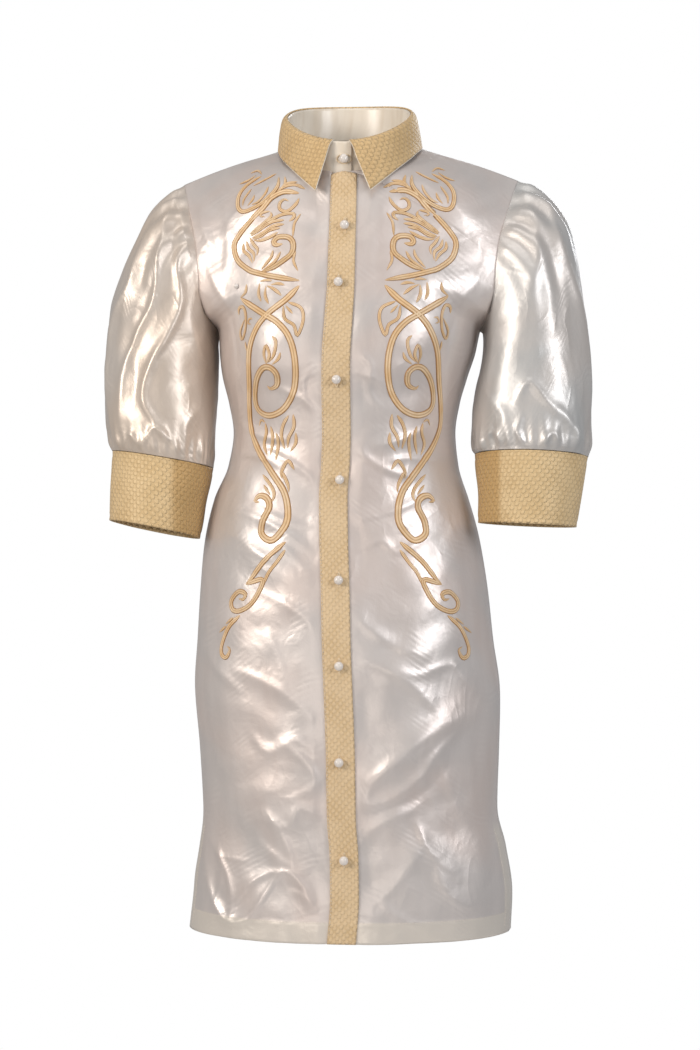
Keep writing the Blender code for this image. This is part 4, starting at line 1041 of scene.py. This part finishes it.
STROKES = [
    # the upper vine, from the placket out and back to it
    (6.1, (52, -58.5), (69.7, -56), (85, -63), (95.5, -75), (109.6, -89), (123.6, -105.4),
     (129.5, -118), (125, -135), (110.7, -147.6), (100, -152), (81.4, -157), (48.6, -163.5)),
    (3.8, (52, -64), (56.8, -72.6), (66, -80), (74.4, -77.3), (75, -70), (69.7, -65.5), (64, -68)),
    (4.9, (100, -32.7), (116.6, -43), (126, -56), (126, -71.4), (119, -77.8), (105, -73.7),
     (91, -64.4), (79, -50), (78, -36)),
    (3.8, (128, -41), (116.6, -37.4), (107, -30.3)),
    (3.8, (116, -27), (106, -24.5), (100, -31)),
    (2.9, (89.6, -48), (93, -57.3), (101, -66.7), (109.6, -70.2)),
    (2.9, (106, -57.3), (108.4, -64.4), (114.3, -71.4)),
    (2.9, (110.7, -49), (119, -62), (120, -71.4)),
    (2.9, (81.4, -31.5), (93, -38), (109.6, -45.6)),
    (3.5, (54.4, -44.4), (68.5, -46.8), (76.7, -55)),
    (3.5, (45, -53.8), (58, -48), (73.2, -51.5), (81.4, -60.8)),
    (3.5, (70.9, -36.2), (69.7, -45.6), (75.6, -53.8)),
    # the fan under it
    (3.8, (63.8, -92.5), (58, -87.8), (59, -83), (73.2, -84.3), (90.8, -93.7), (109.6, -106.6)),
    (3.8, (68.5, -90.2), (83.8, -92.5), (100.2, -101.9), (109.6, -107.8)),
    (3.8, (68.5, -95.4), (81.4, -97.2), (95.5, -105.4), (108.4, -110)),
    (3.8, (73.2, -99.6), (86, -101.9), (97.8, -108.9), (107.2, -111.3)),
    (3.8, (75.6, -104.2), (85, -110), (96.7, -113.6), (106, -112.5)),
    (3.8, (86, -79.6), (85, -85.5), (95.5, -94.9), (110.7, -105.4)),
    (3.2, (86, -79), (95.5, -80.8), (97.8, -84.9), (92, -84.9)),
    (3.5, (110.7, -108.9), (104.9, -118.3), (100.2, -124.2), (101.4, -132.4)),
    (3.5, (114.3, -112.5), (111.9, -121.8), (104.9, -128.9), (104.9, -139.4)),
    (3.5, (117.8, -114.8), (117.8, -124.2), (110.7, -131.2), (106, -140.6)),
    # the inner scroll
    (6.1, (69.7, -118.9), (77.9, -120), (80.8, -116), (75.6, -110.7), (63.8, -111.3),
     (58, -118.3), (59, -130), (69.7, -139.4), (83.8, -147.6), (96.7, -151.2)),
    (3.2, (72, -127.7), (79, -139.4), (93, -148.8)),
    (3.2, (81.4, -125.4), (83.8, -134.7), (95.5, -148.8)),
    (2.9, (49.7, -83), (56.8, -94.9), (58.5, -111.3)),
    (2.9, (54.4, -127.7), (56.8, -139.4), (50.9, -152.3)),
    # the two long stems that cross, and the spiral one of them ends in
    (7.3, (48.6, -168.8), (64.9, -185.3), (87.3, -202.5), (100.5, -219.6), (108.4, -243.4),
     (109.7, -277.7), (111, -304), (109.7, -330.5), (100.5, -355.6), (84.7, -380.7),
     (78.5, -389.6), (68.2, -405.7), (63.8, -424.8), (65.3, -442.4), (77, -458.6),
     (85.8, -461.5), (94.6, -454), (93.2, -439.5), (85.8, -423.3), (88.8, -413),
     (97.6, -410), (103.4, -416), (97.6, -417.5)),
    (6.7, (121.3, -179.3), (113.7, -185.3), (92.6, -199.8), (74, -211.7), (60.9, -227.5),
     (54.3, -248.7), (53, -272.4), (57, -293.5), (68.8, -310.7), (84.7, -317.3), (97.9, -312),
     (103, -298.8), (100.5, -277.7), (92.6, -264.5), (83.3, -263.2), (75.4, -271),
     (75.4, -283), (83.3, -287), (87.3, -283)),
    (3.7, (113, -164), (114.3, -173.5), (121.3, -180)),
    (3.8, (66.2, -168.2), (74.4, -165.8), (83.8, -167)),
    (3.8, (69.7, -180.5), (79.1, -172.3), (88.5, -167.6)),
    (3.8, (84.9, -189.9), (89.6, -179.3), (89, -167.6)),
    (3.8, (94.3, -186.4), (97.8, -177), (96.7, -164)),
    (3.8, (81.4, -162.3), (88.5, -161.1), (96.7, -162.3)),
    (3.5, (62.2, -188), (46.4, -195.9), (43.7, -210.4), (50.3, -227.5), (54.3, -215.7),
     (64.9, -207.7), (67.5, -192)),
    (3.5, (55.6, -202.5), (64.9, -191.9)),
    (3.7, (123, -199.8), (123, -192), (117.7, -190.6), (113.7, -201), (113.7, -218.3),
     (117.7, -228.9), (120.3, -219.6), (115, -205)),
    (3.5, (104.5, -206.4), (108.4, -205.1), (110.4, -210.4), (105.8, -212.4)),
    (3.5, (113.7, -231.5), (111, -244.7)),
    (3.5, (80.7, -226.9), (75.4, -234), (78, -248.7), (84.7, -257.9)),
    (3.5, (87.3, -259.2), (83.3, -248.7), (87.3, -238.1), (89.9, -247.3), (87.3, -259.2)),
    (3.5, (70.1, -246), (72.8, -253.9), (80.7, -260.5)),
    # the flames at the waist
    (3.8, (57, -316), (56.3, -330.5), (62.9, -343.7), (64.2, -355.6)),
    (3.8, (62.2, -317.3), (68.8, -327.9), (71.5, -341.1), (67.5, -356.9)),
    (3.8, (54.3, -337.1), (54.3, -349), (60.9, -359.5)),
    (3.8, (78.1, -337.1), (75.4, -349), (78.1, -370.1)),
    (3.8, (84.7, -329.2), (82, -343.7), (84.7, -363.5)),
    (3.8, (91.3, -325.2), (89.9, -337.1), (92.6, -350.3), (88.6, -363.5)),
    (3.2, (91.3, -325.2), (96.5, -321.9), (99.2, -329.2)),
    (3.8, (55.6, -380.7), (63.5, -370.1), (71.5, -383.3), (70.1, -391.2)),
    (3.8, (71.2, -380.8), (63.8, -396.9), (62.4, -407.2)),
    (3.8, (94.6, -385), (83, -399.9), (80, -410), (84.4, -419)),
    (3.2, (93.2, -397), (84.4, -410)),
    # the sprig at the hip
    (5.5, (65.3, -463), (90.2, -485), (106.4, -505.5), (113.7, -512.8)),
    (5.5, (113.7, -512.8), (93.2, -507), (97.6, -521.6), (107.9, -536.3), (121, -543.6),
     (129.9, -542), (131.3, -531.9), (122.5, -521.6), (113.7, -523.8), (116.7, -530.4),
     (122.5, -529)),
    (3.8, (65.3, -471.8), (75.6, -486.4), (85.8, -499.6), (93.2, -515.8)),
    (4.9, (119.6, -548), (134.3, -562.7), (143, -583.2), (143, -595), (137, -597.9),
     (132.8, -589), (137, -584.7)),
    (3.5, (128.4, -551), (138.7, -559.8)),
    (3.5, (137.2, -561.2), (147.5, -570)),
]
CORDING = 1.15         # the cords spread this much past the drawn stroke
RIBBON_STEP, RIBBON_LIFT = 2.2, 0.05
# The ribbon's section: how far across (-1 to 1) and how high, round its outline.
RIBBON_SECTION = np.array([(-1.0, 0.0), (-0.85, 0.62), (-0.5, 0.85), (-0.12, 0.5), (0.12, 0.5),
                           (0.5, 0.85), (0.85, 0.62), (1.0, 0.0), (0.4, -0.3), (-0.4, -0.3)])


def on_cloth(tree, x, z):
    """The cloth's outside in front of each x, z: places and normals, in millimetres."""
    hits = [tree.ray_cast(Vector((a * MM, -0.4, b * MM)), Vector((0, 1, 0))) for a, b in zip(x, z)]
    places = np.array([hit[0] for hit in hits]) / MM
    return places, np.array([hit[1] for hit in hits])


thread = Look("embroidery_thread", Sheen_Weight=0.3, Sheen_Roughness=0.35, Specular_IOR_Level=0.6)
stitch_map = thread.place("UVMap", "UV", 1.0, 1.0, 1.0)
run = thread.node("SeparateXYZ", {}, {0: stitch_map}, 1)
over = thread.node("SeparateXYZ", {}, {0: stitch_map}, 0)
strand = (run * 800.0 + over * 1.5).wave()
# Painted shade: the thread is darkened to brown at the ribbon's edges, where it meets the cloth, and
# down the groove between its two cords.
rim = 1.0 - (over * 0.5).wave().ramp(0.16, 0.5)
vein = (over * 0.5).wave().ramp(0.7, 0.95)
gold = thread.noise(thread.place("TexCoord", "Object", 1.0, 1.0, 1.0), 60.0, 2.0).ramp(0.35, 0.68)
cream = thread.mix(gold * 0.6, rgb(0.80, 0.595, 0.37), rgb(0.68, 0.42, 0.18))
thread.feed("Base Color", thread.mix(rim * 0.92 + vein * 0.62, cream, rgb(0.37, 0.17, 0.04)))
thread.feed("Roughness", 0.36 + 0.16 * strand)
thread.feed("Normal", thread.bump(strand, 0.00009))

bpy.context.view_layer.update()
depsgraph = bpy.context.evaluated_depsgraph_get()
front_trees = {side: BVHTree.FromObject(fronts[side], depsgraph) for side in (-1, 1)}
for side, name in ((-1, "embroidery_right"), (1, "embroidery_left")):
    ribbons = []
    for number, (width, *points) in enumerate(STROKES):
        width *= CORDING
        line = smooth_line(points, RIBBON_STEP)
        places, normals = on_cloth(front_trees[side], side * line[:, 0], line[:, 1])
        forward = np.gradient(places, axis=0)
        forward /= np.linalg.norm(forward, axis=1, keepdims=True)
        aside = np.cross(normals, forward)
        aside /= np.linalg.norm(aside, axis=1, keepdims=True)
        run_mm = np.arange(len(line)) * RIBBON_STEP
        taper = np.minimum(run_mm / (1.6 * width), (run_mm[-1] - run_mm) / (2.6 * width))
        taper = np.clip(taper, 0.0, 1.0) ** 0.55
        lift = RIBBON_LIFT * (number % 5)
        across = aside[:, None] * (RIBBON_SECTION[:, 0] * width / 2)[None, :, None]
        tall = 0.7 + 0.07 * width
        up = normals[:, None] * (RIBBON_SECTION[:, 1] * tall + lift)[None, :, None]
        ribbons.append(((places[:, None] + (across + up) * taper[:, None, None]), side < 0))
    piece = sheet_mesh(name, ribbons, closed=True, wall=0.0, look=thread.material,
                       across=np.append(RIBBON_SECTION[:, 0] + 1.0, 0.0))
    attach(piece, "root")


# ------------------------------------------------------------------ stitching
# Machine stitches in pearly thread: along the top of the turned hem, up both edges of the
# side slits, and a small zigzag down the placket's sewn edge. One small pearl bead is sewn
# on just outside the upper vine on the wearer's right.

STITCH, STITCH_GAP, STITCH_RADIUS = 2.6, 1.3, 0.28
sewing = Look("sewing_thread", Roughness=0.45, Sheen_Weight=0.2)
sewing.shader.inputs["Base Color"].default_value = rgb(0.74, 0.67, 0.59)


def stitches(name, lines, slant=0.0):
    """Short threads along lines of points, thin at both ends. slant sets each stitch's
    ends off to either side, turn and turn about."""
    threads = []
    for points, outward in lines:
        length = np.concatenate([[0], np.cumsum(np.linalg.norm(np.diff(points, axis=0), axis=1))])
        starts = np.arange(2.0, length[-1] - STITCH - 2.0, STITCH + STITCH_GAP)
        at = starts[:, None] + STITCH * np.array([0.0, 0.25, 0.75, 1.0])
        place = np.stack([np.interp(at, length, points[:, k]) for k in range(3)], axis=-1)
        up = np.stack([np.interp(at, length, outward[:, k]) for k in range(3)], axis=-1)
        along = np.gradient(place, axis=1)
        along /= np.linalg.norm(along, axis=-1, keepdims=True)
        aside = np.cross(up, along)
        zig = (-1.0) ** np.arange(len(starts))[:, None] * np.array([-1.0, -0.5, 0.5, 1.0]) * slant
        place = place + aside * zig[..., None]
        turn = np.linspace(0, 2 * np.pi, 5, endpoint=False)
        girth = STITCH_RADIUS * np.array([0.3, 1.0, 1.0, 0.3])[None, :, None, None]
        rim = aside[:, :, None] * np.cos(turn)[:, None] + up[:, :, None] * np.sin(turn)[:, None]
        threads.extend((stitch, True) for stitch in place[:, :, None] + rim * girth)
    piece = sheet_mesh(name, threads, closed=True, wall=0.0, look=sewing.material)
    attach(piece, "root")
    return piece


def outward_from(points, facing):
    """A rough outward direction: away from the garment's middle, and to the facing side."""
    out = points * (1.0, 1.0, 0.0) / (3.0, 1.0, 1.0)
    out[:, 1] = facing * np.maximum(np.abs(out[:, 1]), 8.0)
    return out / np.linalg.norm(out, axis=1, keepdims=True)


# The hem line as a row number, between the last two sections.
last_z = FRONT_SECTIONS[-2:, SECTION_NAMES.index("mid_z")]
hem_row = HEM_ROW - 1 + (last_z[0] - (HEM_LEVEL + HEM_DEPTH - 1.2)) / (last_z[0] - last_z[1])
lines = []
slit_rows = np.linspace(19.4, 21.9, 60)
for side in (-1, 1):
    for table, neck_row, facing in ((FRONT_SECTIONS, FRONT_NECK_ROW, -1.0),
                                    (BACK_SECTIONS, BACK_NECK_ROW, 1.0)):
        edge = 18.0 if facing < 0 else 0.0
        round_hem = torso(table, neck_row, np.full(200, hem_row), np.linspace(0.0, 0.97, 200),
                          side, edge, 0.0, facing)
        up_slit = torso(table, neck_row, slit_rows, np.full(60, 0.957), side, edge, 0.0, facing)
        for line in (round_hem, up_slit):
            out = outward_from(line, facing)
            lines.append((line + 0.1 * out, out))
stitches("hem_stitches", lines)

rows = np.linspace(4.3, 21.9, 400)
width = placket_width(rows)
seam = down_the_front(rows, -0.46 * width, PLACKET_LIFT + PLACKET_WALL + 0.1)
stitches("placket_stitches", [(seam, np.tile([0.0, -1.0, 0.0], (400, 1)))], slant=0.7)

bead_place, bead_out = on_cloth(front_trees[-1], [-125.0], [-166.0])
bead = ball("vine_bead", bead_place[0] + 1.8 * bead_out[0], (2.9, 2.5, 2.9), pearl.material, 20)


# ------------------------------------------------------------------ room and camera
# A pale floor, soft lights and the camera.

FLOOR_LEVEL = -1.55
bpy.ops.mesh.primitive_circle_add(vertices=96, radius=3.0, fill_type="NGON",
                                  location=(0.0, 0.0, FLOOR_LEVEL))
floor = bpy.context.object
floor.name = "floor"
ground = Look("floor_paint", Roughness=0.8)
ground.shader.inputs["Base Color"].default_value = rgb(0.86, 0.85, 0.84)
reach = ground.node("VectorMath", {"operation": "LENGTH"},
                    {0: ground.place("TexCoord", "Object", 1.0, 1.0, 0.0)}, 1)
ground.feed("Alpha", 1.0 - reach.ramp(0.5, 1.9))
floor.data.materials.append(ground.material)

world = bpy.data.worlds.new("studio")
bpy.context.scene.world = world
world.use_nodes = True
sky = world.node_tree
plain = sky.nodes["Background"]
plain.inputs["Color"].default_value = rgb(1.0, 1.0, 1.0)
glow = sky.nodes.new("ShaderNodeBackground")
glow.inputs["Color"].default_value = rgb(0.93, 0.96, 1.0)
glow.inputs["Strength"].default_value = 0.3
ray = sky.nodes.new("ShaderNodeLightPath")
either = sky.nodes.new("ShaderNodeMixShader")
sky.links.new(ray.outputs["Is Camera Ray"], either.inputs[0])
sky.links.new(glow.outputs[0], either.inputs[1])
sky.links.new(plain.outputs[0], either.inputs[2])
sky.links.new(either.outputs[0], sky.nodes["World Output"].inputs[0])


def lamp(name, place, aim, size, power, colour):
    """A square soft light aimed at a point."""
    light = bpy.data.lights.new(name, "AREA")
    light.size = size
    light.energy = power
    light.color = colour
    lamp_object = bpy.data.objects.new(name, light)
    lamp_object.location = place
    heading = Vector(aim) - Vector(place)
    lamp_object.rotation_euler = heading.to_track_quat("-Z", "Y").to_euler()
    bpy.context.collection.objects.link(lamp_object)


lamp("key", (-1.9, -1.9, 0.35), (0, 0, -0.42), 0.9, 42.0, (1.0, 0.935, 0.87))
lamp("fill", (2.0, -1.7, 0.3), (0, 0, -0.4), 0.9, 29.0, (0.94, 0.96, 1.0))
lamp("top", (-0.1, -0.9, 1.7), (0, 0, -0.5), 1.2, 11.0, (1.0, 0.98, 0.96))
lamp("low", (-0.4, -2.5, -0.9), (0, 0, -0.6), 0.8, 5.0, (1.0, 0.92, 0.85))
lamp("rim", (0.8, 2.2, 0.8), (0, 0, -0.3), 1.0, 19.0, (0.95, 0.97, 1.0))

AZIMUTH, DISTANCE, EYE_LEVEL = np.radians(4.5), 2.6, -0.444
view = bpy.data.cameras.new("camera")
view.lens = 74.3
camera = bpy.data.objects.new("camera", view)
camera.location = (DISTANCE * np.sin(AZIMUTH), -DISTANCE * np.cos(AZIMUTH), EYE_LEVEL)
camera.rotation_euler = (np.pi / 2, 0.0, AZIMUTH)
bpy.context.collection.objects.link(camera)
bpy.context.scene.camera = camera
bpy.context.scene.view_settings.view_transform = "Standard"
